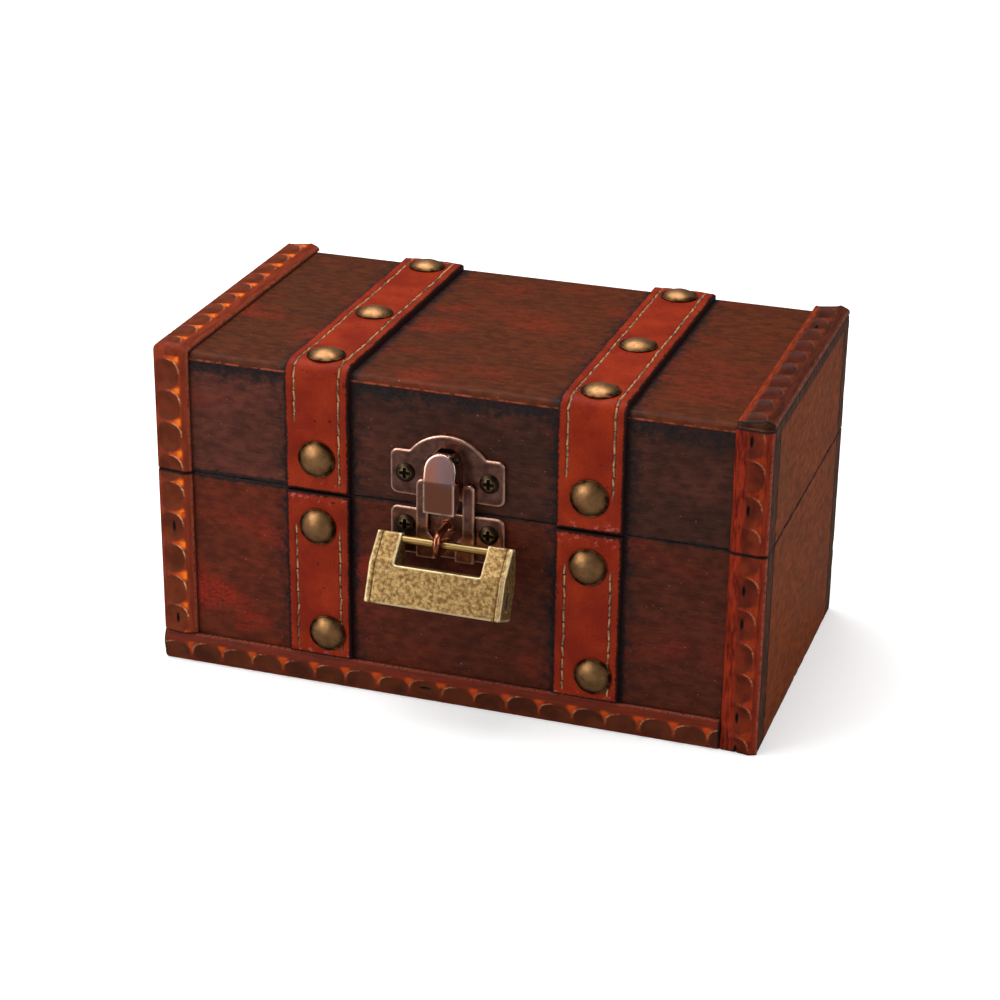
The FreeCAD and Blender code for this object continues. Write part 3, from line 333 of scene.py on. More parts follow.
def end_grain():
    """Sawn ends that drank the glaze: dark grey-brown, with short pale and black streaks."""
    material, tree = new_material("glazed_end_grain")
    streak = patches(tree, (3 * MM, 0.7 * MM, 5 * MM), 0.3, 0.7, 7.7, 4.0)
    pale = patches(tree, (2 * MM, 0.6 * MM, 3 * MM), 0.6, 0.72, 8.3, 3.0)
    colour = coats(tree, "#2a1a12", ("#553220", streak), ("#6a5040", pale, 0.6))
    return matt(material, colour, roughness=0.6, shine=0.05, relief=0.6, depth=0.08 * MM, rise=streak)


# The left and right tones of these woods include painted light falling from the left.
FRONT_WOOD = stained_wood("dark_stained_pine", "#682813", "#542413", "#8e1d0a", 0, 0.5, 0.3, 0.1)
LID_WOOD = stained_wood("brown_stained_pine", "#643225", "#432419", "#6e2010", 0, 0.58, 0.3, 0.1)
TOP_WOOD = stained_wood("rubbed_stained_pine", "#542710", "#5c280f", "#80200a", 0, 0.47, 0.4, 0.08)
SIDE_WOOD = stained_wood("tan_stained_pine", "#6e3417", "#843e1a", "#5c3a1c", 1, 0.52, 0.6, 0.03)
END_WOOD = end_grain()
BOARDS = {"base_front_panel": FRONT_WOOD, "base_back_panel": FRONT_WOOD, "base_left_panel": SIDE_WOOD,
          "base_right_panel": SIDE_WOOD, "base_bottom_panel": FRONT_WOOD, "lid_top_panel": TOP_WOOD,
          "lid_front_rail": LID_WOOD, "lid_back_rail": LID_WOOD, "lid_left_rail": SIDE_WOOD,
          "lid_right_rail": SIDE_WOOD}
END_TURN = 0.8
for node, wood in BOARDS.items():
    piece = settle(board(node), body_of(node), "stained_wood", [node], wood, END_WOOD)
    if wood is not SIDE_WOOD:
        for face in piece.data.polygons:
            face.material_index = int(abs(face.normal.x) > END_TURN)


# Carved mouldings.  Half-round strips with a row of dished scoops beside a smooth lip, all laid the same way
# round, lacquered brown or red and rubbed to bright orange on the forked ridges between the scoops, with a
# painted sheen and highlight on the ridges.  The upper rim of each scoop carries a painted pale highlight and
# the brad slits are painted dark as shade.  Brads hold them, punched in; at the left the top strip and the
# upright meet in a rounded corner.

BACKWARD, UP = np.eye(3)[1:]
LEFT, FORWARD, DOWN = -np.eye(3)
SIDE_RISE = 1.2 * MM
SCOOP_PITCH = 9.0 * MM
SCOOP_HALF = 4.25 * MM
SCOOP_MARGIN = 0.3 * MM
SCOOP_DEPTH = 0.9 * MM
SCOOP_POWER = 2.5
SCOOP_BLEND = 0.1 * MM
SCOOP_SHIFT = 0.3 * MM
RIDGE_START, RIDGE_RISE, RIDGE_END = 0.6, 0.25, 1.2
CROTCH_REACH = 4.4 * MM
CROTCH_START = 0.5 * MM
HOOK_HALF = 0.12 * MM
HOOK_RISE = 1 / 3
HOOK_REACH = 2.6 * MM
HOOK_END = 3.64 * MM
TRIM_STEP = 0.3 * MM
TRIM_COLUMNS = 34
TRIM_EASE = 0.25 * MM
TRIM_EASE_WIDTH = 0.5 * MM
TRIM_EASE_SHARES = np.array([0.0, 0.25, 0.6])
END_EASE = 0.5 * MM
END_EASE_LENGTH = 0.8 * MM
CARVE_ROUGH = 0.05 * MM
CARVE_ROUGH_LENGTH = 1.6 * MM
SLIT_HALF_LENGTH = 1.9 * MM
SLIT_HALF_WIDTH = 0.5 * MM
SLIT_DEPTH = 0.45 * MM
SLIT_ACROSS_SHARE = 0.56
KNEE_STEPS = 8
BOTH_SIDES = ((0, 0), (1, 1))


def ripple(runs, places, level, length):
    """Noise over a grid of runs and places, with waves of this length."""
    return np.array([[noise.noise(Vector((run, place, level)) / length) for place in places] for run in runs])


def skin(rings):
    """Points and faces of a closed skin over a row of rings, the end rings filled last."""
    count, around = rings.shape[:2]
    faces = []
    for ring in range(count - 1):
        for place in range(around):
            here, beside = ring * around + place, ring * around + (place + 1) % around
            faces.append((here, beside, beside + around, here + around))
    faces.append(tuple(range(around)))
    faces.append(tuple(range((count - 1) * around, count * around)))
    return rings.reshape(-1, 3), faces


def moulding(node, along, outward, proud, lip_width, slide, slit_chance, joined, seed):
    """A carved strip of the plain one's form, its scoops slid along and each cut a little differently.  Its
    points keep how deep they are cut and how much they belong to a ridge, a scoop's rim (where a painted
    highlight goes) or a punched slit (painted dark as shade).
    Joined names the end that meets another strip in a rounded corner: start, finish or none."""
    low, high = corners(node)
    corner = np.where(along + outward + proud > 0, low, high)
    length, width, height = (abs((high - low) @ way) for way in (along, outward, proud))
    runs = spaced(0, length, TRIM_STEP)[:, None]
    ease = TRIM_EASE_WIDTH * TRIM_EASE_SHARES
    columns = np.linspace(TRIM_EASE_WIDTH, width - TRIM_EASE_WIDTH, TRIM_COLUMNS)
    across = np.concatenate([ease, columns, (width - ease)[::-1]])[None, :]
    crown = (width ** 2 / 4 + (height - SIDE_RISE) ** 2) / (2 * (height - SIDE_RISE))
    round_top = height - crown + np.sqrt(crown ** 2 - (across - width / 2) ** 2) + 0 * runs
    chance = np.random.default_rng(seed)
    count = math.floor(length / SCOOP_PITCH) + 1
    first = (length - (count - 1) * SCOOP_PITCH) / 2 + slide
    carve = np.full(round_top.shape, -height)
    side, slit = np.zeros((2, *round_top.shape))
    for place in range(count):
        middle = first + place * SCOOP_PITCH + chance.uniform(-SCOOP_SHIFT, SCOOP_SHIFT)
        tip = lip_width + chance.uniform(-SCOOP_SHIFT, SCOOP_SHIFT)
        half = (width - SCOOP_MARGIN - tip) / 2
        reach = np.abs((runs - middle) / SCOOP_HALF) ** SCOOP_POWER
        reach = reach + np.abs((across - tip - half) / half) ** SCOOP_POWER
        cut = SCOOP_DEPTH * (1 - reach)
        side = np.where(cut > carve, (runs - middle) / (SCOOP_PITCH / 2), side)
        carve = np.maximum(carve, cut)
        if chance.uniform() < slit_chance:
            reach = ((runs - middle) / SLIT_HALF_LENGTH) ** 2
            reach = reach + ((across - width * SLIT_ACROSS_SHARE) / SLIT_HALF_WIDTH) ** 2
            slit = np.maximum(slit, 1 - reach)
    blend = np.clip(0.5 + carve / (2 * SCOOP_BLEND), 0, 1)
    rise = round_top - carve * blend - SCOOP_BLEND * blend * (1 - blend)
    beyond = across - lip_width
    crotch = fade(-beyond, CROTCH_START) * fade(beyond, CROTCH_REACH)
    between = np.clip((np.abs(side) - RIDGE_START) / RIDGE_RISE, 0, 1) * (np.abs(side) < RIDGE_END)
    ridge = (1 - blend) * between * crotch
    # Painted highlight on the upper rim of each scoop, where light catches it.
    hook = np.exp(-(carve / HOOK_HALF) ** 2) * np.clip(side / HOOK_RISE, 0, 1)
    hook = hook * np.clip((HOOK_END - beyond) / HOOK_REACH, 0, 1)
    ends = {"start": length - runs, "finish": runs}.get(joined, np.minimum(runs, length - runs))
    border = np.minimum(across, width - across)
    rise += CARVE_ROUGH * ripple(runs[:, 0], across[0], seed * MM, CARVE_ROUGH_LENGTH) - SLIT_DEPTH * slit
    rise -= TRIM_EASE * fade(border, TRIM_EASE_WIDTH) ** 2
    rise -= END_EASE * fade(ends, END_EASE_LENGTH) ** 2
    rise = np.pad(np.minimum(rise, height), BOTH_SIDES)
    spread = np.pad(across + 0 * runs, BOTH_SIDES, mode="edge")
    values = {"carve": carve, "ridge": ridge, "hook": hook, "slit": slit, "across": across / width + 0 * runs,
              "end": ends + 0 * across}
    values = {word: np.pad(numbers, BOTH_SIDES, mode="edge") for word, numbers in values.items()}
    values["rise"] = rise
    rings = corner + runs[:, :, None] * along + spread[:, :, None] * outward + rise[:, :, None] * proud
    if joined == "finish":
        knee = [rings[-1] + rise[-1][:, None] * (math.cos(turn) * proud + math.sin(turn) * along - proud)
                for turn in np.linspace(0, math.pi / 2, KNEE_STEPS)[1:]]
        rings = np.concatenate([rings, knee])
        more = ((0, len(knee)), (0, 0))
        values = {word: np.pad(numbers, more, mode="edge") for word, numbers in values.items()}
    return put_mesh(node.replace("trim", "moulding"), *skin(rings), values)


def carved_lacquer(name, axis, hollow, lip, band, band_start, glow, rim_highlight):
    """Lacquer over carved wood: dark in the hollows, orange where the ridges are rubbed through, with a
    painted sheen and highlight on the ridges, a painted pale highlight on the sharp upper rim of each scoop,
    and painted shade in the brad slits."""
    words = ("carve", "ridge", "hook", "slit", "across", "rise", "end")
    material, tree, carve, ridge, hook, slit, across, rise, end = new_material(name, *words)
    streak = patches(tree, running(7 * MM, 0.8 * MM, axis), 0.3, 0.7, 1.7, 3.0)
    cloud = patches(tree, 5 * MM, 0.3, 0.7, 2.9, 4.0)
    broken = patches(tree, 2.5 * MM, 0.22, 0.5, 3.3, 3.0)
    fine = patches(tree, 0.8 * MM, 0.25, 0.75, 4.7)
    inside = add(tree, RANGE, {"Value": carve, "From Min": -0.1 * MM, "From Max": 0.2 * MM}, **SOFT)
    outer = add(tree, RANGE, {"Value": across, "From Min": band_start, "From Max": band_start + 0.2}, **SOFT)
    lips, hollows, bands = (coats(tree, pair[0], (pair[1], mask))
                            for mask, pair in ((streak, lip), (cloud, hollow), (streak, band)))
    # Ridges rubbed through to orange, with a painted sheen; glow sets its strength per strip, following how
    # the light fell.
    rubbed_ridge_and_sheen = add(tree, MATH, {0: ridge, 1: broken}, **TIMES)
    rubbed_ridge_and_sheen = add(tree, MATH, {0: rubbed_ridge_and_sheen, 1: glow}, **TIMES)
    # Core: a painted highlight at the middle of each ridge.
    core = add(tree, RANGE, {"Value": rubbed_ridge_and_sheen, "From Min": 0.6, "To Max": 0.7})
    lip_edge = add(tree, RANGE, {"Value": across, "From Min": 0.06, "From Max": 0.01, "To Max": 0.5})
    foot, tip = (
        add(tree, RANGE, {"Value": value, "From Min": 0.8 * MM, "From Max": 0.2 * MM, "To Max": most}, **SOFT)
        for value, most in ((rise, 0.85), (end, 0.95)))
    # Painted shade in the brad slits.
    punched = add(tree, RANGE, {"Value": slit, "From Min": 0.1, "From Max": 0.5})
    # The pale hook colour is a painted highlight.
    colour = coats(tree, lips, (hollows, inside), (bands, outer), ("#d8520c", rubbed_ridge_and_sheen),
                   ("#ee8a2c", core), ("#e8a878", hook, fine, rim_highlight), ("#a0604c", lip_edge, fine),
                   (SOOT_AND_SHADE, foot), (SOOT_AND_SHADE, tip), (SOOT_AND_SHADE, punched))
    return matt(material, colour, roughness=0.42, shine=0.06, relief=0.4, depth=0.05 * MM, rise=streak)


def plain_metal(name, colour, roughness):
    """Plain metal with one even finish."""
    sockets = {"Base Color": linear(colour), "Metallic": 1.0, "Roughness": roughness}
    return surfaced(new_material(name)[0], sockets)


def dress(node, material):
    """Keeps a plain node as it is and gives it its finish."""
    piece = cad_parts[node]
    piece.data.materials.clear()
    piece.data.materials.append(material)


BROWN = {"hollow": ("#4c1e0c", "#662a12"), "lip": ("#642411", "#7c301a"), "band": ("#561a0a", "#842c10"),
         "band_start": 0.82}
UMBER = {"hollow": ("#421e11", "#582915"), "lip": ("#522111", "#6c2213"), "band": ("#4a1a0e", "#6a2410"),
         "band_start": 0.82}
RED = {"hollow": ("#46160a", "#6c2610"), "lip": ("#5c180a", "#7c2812"), "band": ("#4c1006", "#882810"),
       "band_start": 0.56}
RUST = {"hollow": ("#34140b", "#4a1c0f"), "lip": ("#3c1a10", "#542416"), "band": ("#5e1e0a", "#8c3210"),
        "band_start": 0.72}
BROWN_UPRIGHT = carved_lacquer("brown_lacquer_upright", 2, **BROWN, glow=1.0, rim_highlight=1.0)
BROWN_TOP = carved_lacquer("brown_lacquer_top", 1, **BROWN, glow=0.9, rim_highlight=0.4)
UMBER_RAIL = carved_lacquer("umber_lacquer_rail", 0, **UMBER, glow=0.5, rim_highlight=0.5)
RED_UPRIGHT = carved_lacquer("red_lacquer_upright", 2, **RED, glow=0.2, rim_highlight=0.38)
RUST_TOP = carved_lacquer("rust_lacquer_top", 1, **RUST, glow=0.1, rim_highlight=0.1)
MOULDINGS = {
    "base_front_trim_left": (UP, LEFT, FORWARD, 2.2 * MM, 3.0 * MM, 0.3, "none", BROWN_UPRIGHT),
    "base_front_trim_right": (UP, LEFT, FORWARD, 1.8 * MM, 0.0, 0.5, "none", RED_UPRIGHT),
    "base_front_trim_bottom": (LEFT, DOWN, FORWARD, 2.4 * MM, -2.4 * MM, 0.15, "none", UMBER_RAIL),
    "lid_front_trim_left": (UP, LEFT, FORWARD, 2.2 * MM, -2.3 * MM, 0.3, "finish", BROWN_UPRIGHT),
    "lid_front_trim_right": (UP, LEFT, FORWARD, 1.8 * MM, 0.0, 0.5, "none", RED_UPRIGHT),
    "lid_top_trim_left": (BACKWARD, LEFT, UP, 2.6 * MM, 0.0, 0.0, "start", BROWN_TOP),
    "lid_top_trim_right": (BACKWARD, LEFT, UP, 2.6 * MM, 0.0, 0.2, "none", RUST_TOP),
}
for seed, (node, (*cut, lacquer)) in enumerate(MOULDINGS.items()):
    piece = moulding(node, *cut, seed)
    settle(piece, body_of(node), "carved_moulding", [node], lacquer, END_WOOD)
    for face in piece.data.polygons[-2:]:
        face.material_index = 1
DARK_IRON = plain_metal("dark_iron", "#2a2320", 0.5)
for node in ("base_trim_brads", "lid_trim_brads"):
    dress(node, DARK_IRON)


# Leather straps.  Thick split leather dyed brick red, with a blackened cut edge and a row of dull cream
# stitches sunk along each side.  The lid's straps climb its front and turn over the rounded edge of the top,
# and dome nails pull the leather down.

STRAP_STEP = 0.8 * MM
STRAP_BEND_STEPS = 12
STRAP_ROUND = 0.6 * MM
STRAP_ROUND_SHARES = np.array([0.0, 0.12, 0.35, 0.7])
STRAP_COLUMNS = 48
STITCH_INSET = 2.6 * MM
GROOVE_DEPTH = 0.3 * MM
GROOVE_HALF = 0.4 * MM
PUCKER = 0.22 * MM
PUCKER_RADIUS = 6.8 * MM
PUCKER_HALF = 1.6 * MM
WAVE = 0.16 * MM
WAVE_LENGTH = 9.0 * MM
SIDE_WAVE = 0.2 * MM
BASE_BARE = (2 * MM, 10 * MM)
BARE_ENDS = {"base_strap_left": (BASE_BARE, BASE_BARE), "base_strap_right": (BASE_BARE, BASE_BARE),
             "lid_strap_left": ((19 * MM, 2 * MM), (2 * MM, 2 * MM)),
             "lid_strap_right": ((14 * MM, 2 * MM), (10 * MM, 2 * MM))}


def islands(node):
    """The points of each loose part of a node: every point takes the lowest number that an edge brings it."""
    work = welded(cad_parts[node].data)
    work.verts.index_update()
    points = np.array([vertex.co for vertex in work.verts])
    ends = np.array([[vertex.index for vertex in edge.verts] for edge in work.edges])
    work.free()
    number, before = np.arange(len(points)), None
    while not np.array_equal(number, before):
        before = number.copy()
        for here, beside in ((0, 1), (1, 0)):
            np.minimum.at(number, ends[:, here], number[ends[:, beside]])
    return [points[number == lowest] for lowest in np.unique(number)]


def heads(node):
    """The tip of each nail's head and the way that it faces: a nail is shorter than its head is wide."""
    places = []
    for points in islands(node):
        low, high = points.min(axis=0), points.max(axis=0)
        way = UP if np.argmin(high - low) == 2 else FORWARD
        places.append(((low + high + way * (high - low)[np.abs(way) > 0]) / 2, way))
    return places


NAILS = {"base": heads("base_strap_nails"), "lid": heads("lid_strap_nails")}


def strap_path(node):
    """Points on the wood under a strap, the way out from the wood at each, and the thickness."""
    low, high = corners(node)
    if node.startswith("base"):
        heights = spaced(low[2], high[2], STRAP_STEP)
        return [((high[1], height), (-1.0, 0.0)) for height in heights], high[1] - low[1]
    front, top = LID_LOW[1], LID_HIGH[2]
    shoulder = top - TOP_EDGE
    path = [((front, height), (-1.0, 0.0)) for height in spaced(low[2], shoulder, STRAP_STEP)]
    for turn in np.linspace(0, math.pi / 2, STRAP_BEND_STEPS)[1:-1]:
        way = (-math.cos(turn), math.sin(turn))
        path.append(((front + TOP_EDGE + TOP_EDGE * way[0], shoulder + TOP_EDGE * way[1]), way))
    depths = spaced(front + TOP_EDGE, high[1], STRAP_STEP)
    return path + [((depth, top), (0.0, 1.0)) for depth in depths], high[2] - top


def strap(node, body):
    """A swept strap with rounded edges, sunk stitch lines, a slight waviness and puckers round the nails.
    Gives back the piece and the two lines that its stitches follow."""
    low, high = corners(node)
    middle, half = (low[0] + high[0]) / 2, (high[0] - low[0]) / 2
    path, thickness = strap_path(node)
    feet, ways = np.array(path).transpose(1, 0, 2)
    along = np.concatenate([[0.0], np.cumsum(np.linalg.norm(np.diff(feet, axis=0), axis=1))])[:, None]
    near = STRAP_ROUND * STRAP_ROUND_SHARES
    columns = np.linspace(STRAP_ROUND, 2 * half - STRAP_ROUND, STRAP_COLUMNS)
    across = np.concatenate([near, columns, (2 * half - near)[::-1]])[None, :] - half
    end = np.minimum(along, along[-1] - along)
    border = np.minimum(half - np.abs(across), end)
    rounding = STRAP_ROUND - np.sqrt(STRAP_ROUND ** 2 - np.maximum(0.0, STRAP_ROUND - border) ** 2)
    rows = [(sign, (along > start) & (along < along[-1] - finish))
            for sign, (start, finish) in zip((-1, 1), BARE_ENDS[node])]
    groove = sum(sewn * np.exp(-((sign * across + STITCH_INSET - half) / GROOVE_HALF) ** 2)
                 for sign, sewn in rows)
    wave = ripple(along[:, 0] + middle, across[0], 0, WAVE_LENGTH)
    height = thickness - rounding - GROOVE_DEPTH * groove + WAVE * (wave - 1) / 2

    def placed(sideways, out):
        deep, up = (feet[:, [axis]] + ways[:, [axis]] * out for axis in (0, 1))
        return np.stack([middle + sideways, deep, up], axis=2)

    surface = placed(across + 0 * along, thickness + 0 * height)
    for tip, way in NAILS[body]:
        gap = np.linalg.norm(np.cross(surface - tip, way), axis=2)
        level = np.abs((surface - tip) @ way) < 2 * thickness
        height += level * PUCKER * np.exp(-((gap - PUCKER_RADIUS) / PUCKER_HALF) ** 2)
    height = np.minimum(height, thickness + PUCKER)
    sway = ripple(along[:, 0], (middle - half, middle + half), 0, WAVE_LENGTH)
    sway = sway[:, [0]] * (across < 0) + sway[:, [1]] * (across > 0)
    swayed = across + SIDE_WAVE * sway * np.abs(across) / half
    rings = placed(np.pad(swayed, BOTH_SIDES, mode="edge"), np.pad(height, BOTH_SIDES))
    piece = put_mesh(node.replace("strap", "leather"), *skin(rings), {
        "edge": np.pad(border + 0 * height, BOTH_SIDES), "groove": np.pad(groove, BOTH_SIDES),
        "end": np.pad(end + 0 * height, BOTH_SIDES, mode="edge")})
    lines = []
    for sign, sewn in rows:
        column = int(np.argmin(np.abs(across[0] - sign * (half - STITCH_INSET))))
        lines.append(placed(swayed[:, [column]], height[:, [column]])[sewn[:, 0], 0])
    return piece, lines


def dyed_leather():
    """Dyed split leather: brick red with cloudy mottling, small dark spots, a black cut edge, black stitch
    grooves and pinkish scuffs at the ends."""
    material, tree, edge, end, groove = new_material("brick_red_leather", "edge", "end", "groove")
    cloud = patches(tree, 9 * MM, 0.3, 0.7, 1.1, 4.0)
    pore = patches(tree, 0.6 * MM, 0.3, 0.7, 2.3)
    spot = patches(tree, 1.6 * MM, 0.66, 0.73, 3.7, 4.0)
    ragged = patches(tree, 0.9 * MM, 0.2, 0.8, 4.1, 3.0)
    scuff = patches(tree, 1.6 * MM, 0.55, 0.75, 5.9, 5.0)
    colour = coats(tree, "#751a05", ("#8e290a", cloud))
    colour = add(tree, MIX, {"Fac": 0.15, "Color1": colour, "Color2": pore}, blend_type="MULTIPLY")
    at_end = add(tree, RANGE, {"Value": end, "From Min": 4 * MM, "From Max": 0.6 * MM, "To Max": 0.8}, **SOFT)
    reach = add(tree, MATH, {0: ragged, 1: -0.6 * MM, 2: edge}, operation="MULTIPLY_ADD")
    cut = add(tree, RANGE, {"Value": reach, "From Min": 0.5 * MM, "From Max": 0.0, "To Max": 0.95}, **SOFT)
    sunk = add(tree, MATH, {0: groove, 1: ragged}, **TIMES)
    sunk = add(tree, RANGE, {"Value": sunk, "From Min": 0.1, "From Max": 0.6, "To Max": 0.85})
    colour = coats(tree, colour, ("#330f08", spot, 0.75), ("#b4605c", at_end, scuff), ("#17110f", cut),
                   ("#2a120c", sunk))
    return matt(material, colour, roughness=0.5, shine=0.08, relief=0.35, depth=0.05 * MM, rise=pore)


def thread():
    """Waxed cotton thread: cream, dulled with red dye and dirt."""
    material, tree = new_material("waxed_cream_thread")
    dirt = patches(tree, 2.5 * MM, 0.35, 0.65, 6.7)
    return surfaced(material, {"Base Color": coats(tree, "#5c3e28", ("#a5835a", dirt)), "Roughness": 0.7})


STITCH_LENGTH = 3.2 * MM
STITCH_PITCH = 3.1 * MM
STITCH_SHORTEST = 0.9
STITCH_ASKEW = math.radians(8)
STITCH_SIDES = 8
STITCH_END_STEPS = 5
THREAD = 0.58 * MM


def turned(name, profile, steps):
    """A mesh turned about Z from a profile of (radius, height) that starts and ends on the axis."""
    angles = np.arange(steps) * 2 * math.pi / steps
    rings = [[(radius * math.cos(angle), radius * math.sin(angle), height) for angle in angles]
             for radius, height in profile]
    return put_mesh(name, *skin(np.array(rings)))


def capsule_profile(length, diameter):
    """Half outline of a stitch: a rod with round ends, along Z."""
    radius, reach = diameter / 2, (length - diameter) / 2
    turns = np.linspace(0, math.pi / 2, STITCH_END_STEPS)
    low = [(radius * math.sin(turn), -reach - radius * math.cos(turn)) for turn in turns]
    return low + [(across, -height) for across, height in low[::-1]]


def new_tree(name, sockets):
    """A geometry tree with named inputs, and what its group input gives."""
    tree = bpy.data.node_groups.new(name, "GeometryNodeTree")
    for word, kind in {"Geometry": "Geometry", "Piece": "Object", "Seed": "Int", "Material": "Material",
                       **sockets}.items():
        tree.interface.new_socket(name=word, in_out="INPUT", socket_type=f"NodeSocket{kind}")
    tree.interface.new_socket(name="Geometry", in_out="OUTPUT", socket_type="NodeSocketGeometry")
    return tree, tree.nodes.new("NodeGroupInput").outputs


def end_tree(tree, given, points, way, axis, angle, scale=(1.0, 1.0, 1.0)):
    """Sets a piece on each point, its Z to a way and turned about one of its own axes, and ends the tree with
    real geometry and a material."""
    turn = add(tree, "FunctionNodeAlignRotationToVector", {"Vector": way}, axis="Z")
    own = add(tree, "FunctionNodeAxisAngleToRotation", {"Axis": axis, "Angle": angle})
    turn = add(tree, "FunctionNodeRotateRotation", {"Rotation": turn, "Rotate By": own},
               rotation_space="LOCAL")
    source = add(tree, "GeometryNodeObjectInfo", {"Object": given["Piece"]}, out="Geometry")
    laid = add(tree, "GeometryNodeInstanceOnPoints", {"Points": points, "Instance": source, "Rotation": turn,
                                                      "Scale": scale})
    real = add(tree, "GeometryNodeRealizeInstances", {"Geometry": laid})
    painted = add(tree, "GeometryNodeSetMaterial", {"Geometry": real, "Material": given["Material"]})
    add(tree, "NodeGroupOutput", {"Geometry": painted})
    return tree


def stitch_tree():
    """Stitches laid end to end along each line of a mesh, each a little askew and of its own length."""
    tree, given = new_tree("stitches", {"Pitch": "Float", "Askew": "Float", "Shortest": "Float"})
    curve = add(tree, "GeometryNodeMeshToCurve", {"Mesh": given["Geometry"]})
    marks = add(tree, "GeometryNodeResampleCurve", {"Curve": curve, "Length": given["Pitch"]}, mode="LENGTH")
    tangent = add(tree, "GeometryNodeInputTangent")
    angle, shrink = (
        add(tree, "FunctionNodeRandomValue", {"Min": least, "Max": 1.0, "Seed": given["Seed"]}, out=1)
        for least in (-1.0, given["Shortest"]))
    angle = add(tree, MATH, {0: angle, 1: given["Askew"]}, **TIMES)
    scale = add(tree, "ShaderNodeCombineXYZ", {"X": 1.0, "Y": 1.0, "Z": shrink})
    return end_tree(tree, given, marks, tangent, (0.0, 1.0, 0.0), angle, scale)


def plain(piece, modifier):
    """Puts what a modifier makes of a piece in its place, as a plain smooth mesh."""
    made = bpy.data.meshes.new_from_object(piece.evaluated_get(bpy.context.evaluated_depsgraph_get()))
    piece.modifiers.remove(modifier)
    piece.data = made
    for face in made.polygons:
        face.use_smooth = True
    return made


def grown(name, seeds, tree, values):
    """Runs a tree over a mesh of seeds and keeps the outcome as a plain mesh object."""
    piece = put(name, seeds)
    modifier = piece.modifiers.new("grown", "NODES")
    modifier.node_group = tree
    for item in tree.interface.items_tree:
        if item.in_out == "INPUT" and item.name in values:
            modifier[item.identifier] = values[item.name]
    plain(piece, modifier)
    return piece


def line_mesh(lines):
    """A mesh of loose lines, each given as a row of points."""
    points = np.concatenate(lines)
    starts = np.cumsum([0] + [len(line) for line in lines])
    edges = [(place, place + 1) for start, finish in zip(starts, starts[1:])
             for place in range(start, finish - 1)]
    mesh = bpy.data.meshes.new("lines")
    mesh.from_pydata([tuple(point) for point in points], edges, [])
    return mesh


LEATHER = dyed_leather()
THREAD_FINISH = thread()
STITCHES = stitch_tree()
stitch = turned("stitch", capsule_profile(STITCH_LENGTH, THREAD), STITCH_SIDES)
for seed, body in enumerate(("base", "lid")):
    rows = []
    for side in ("left", "right"):
        node = f"{body}_strap_{side}"
        piece, lines = strap(node, body)
        settle(piece, body, "strap_leather", [node], LEATHER)
        rows += lines
    stitches = grown(f"{body}_stitches", line_mesh(rows), STITCHES, {
        "Piece": stitch, "Pitch": STITCH_PITCH, "Seed": seed, "Askew": STITCH_ASKEW,
        "Shortest": STITCH_SHORTEST, "Material": THREAD_FINISH})
    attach(stitches, body)
bpy.data.objects.remove(stitch)


# Dome nails.  Pressed brass domes with a rolled rim, antiqued brown: the high middle is rubbed paler and the
# rim stays dark.  Each is turned a different way on its shank.

NAIL_RADIUS = 5.1 * MM
NAIL_RIM = 0.5 * MM
NAIL_LIP = 0.45 * MM
NAIL_RISE = 2.0 * MM
NAIL_SIDES = 40
DOME_FOOT = 0.4 * MM
DOME_STEPS = 16
ROLL_STEPS = 9
ROLL_START, ROLL_END = -0.5 * math.pi, 0.8 * math.pi
DENT = 0.07 * MM
DENT_LENGTH = 1.8 * MM


def nail_profile():
    """Half outline of a dome nail from its underside over the rolled rim to the top."""
    thick, tall = NAIL_LIP / 2, NAIL_RIM / 2
    roll = [(NAIL_RADIUS - thick + thick * math.cos(turn), tall + tall * math.sin(turn))
            for turn in np.linspace(ROLL_START, ROLL_END, ROLL_STEPS)]
    inner, rise = NAIL_RADIUS - NAIL_LIP, NAIL_RISE - DOME_FOOT
    ball = (inner ** 2 + rise ** 2) / (2 * rise)
    dome = [(ball * math.sin(turn), NAIL_RISE - ball + ball * math.cos(turn))
            for turn in np.linspace(math.asin(inner / ball), 0, DOME_STEPS)]
    return [(0.0, 0.0), *roll, *dome]


def antique_brass(name, bright, dull, rub_low, rub_high):
    """Antiqued brass: brown-gold with a soft shine where it is rubbed, brown-black in the low places."""
    material, tree, rise = new_material(name, "rise")
    cloud = patches(tree, 2.2 * MM, 0.25, 0.75, 1.9, 4.0)
    spot = patches(tree, 0.7 * MM, 0.58, 0.75, 2.1, 3.0)
    rubbed = add(tree, RANGE, {"Value": rise, "From Min": rub_low, "From Max": rub_high}, **SOFT)
    share = add(tree, MATH, {0: cloud, 1: 0.5, 2: rubbed}, operation="MULTIPLY_ADD")
    share = add(tree, RANGE, {"Value": share, "From Min": 0.2, "From Max": 1.4})
    colour = coats(tree, dull, (bright, share), (dull, spot, 0.6))
    rough = add(tree, RANGE, {"Value": share, "To Min": 0.5, "To Max": 0.4})
    return surfaced(material, {"Base Color": colour, "Metallic": 1.0, "Roughness": rough})


def nail_tree():
    """Nails set on the points of a mesh, each facing its own way and turned about its shank by chance."""
    tree, given = new_tree("dome_nails", {})
    facing = add(tree, "GeometryNodeInputNamedAttribute", {"Name": "facing"}, data_type="FLOAT_VECTOR")
    angle = add(tree, "FunctionNodeRandomValue", {"Max": 2 * math.pi, "Seed": given["Seed"]}, out=1)
    return end_tree(tree, given, given["Geometry"], facing, (0.0, 0.0, 1.0), angle)


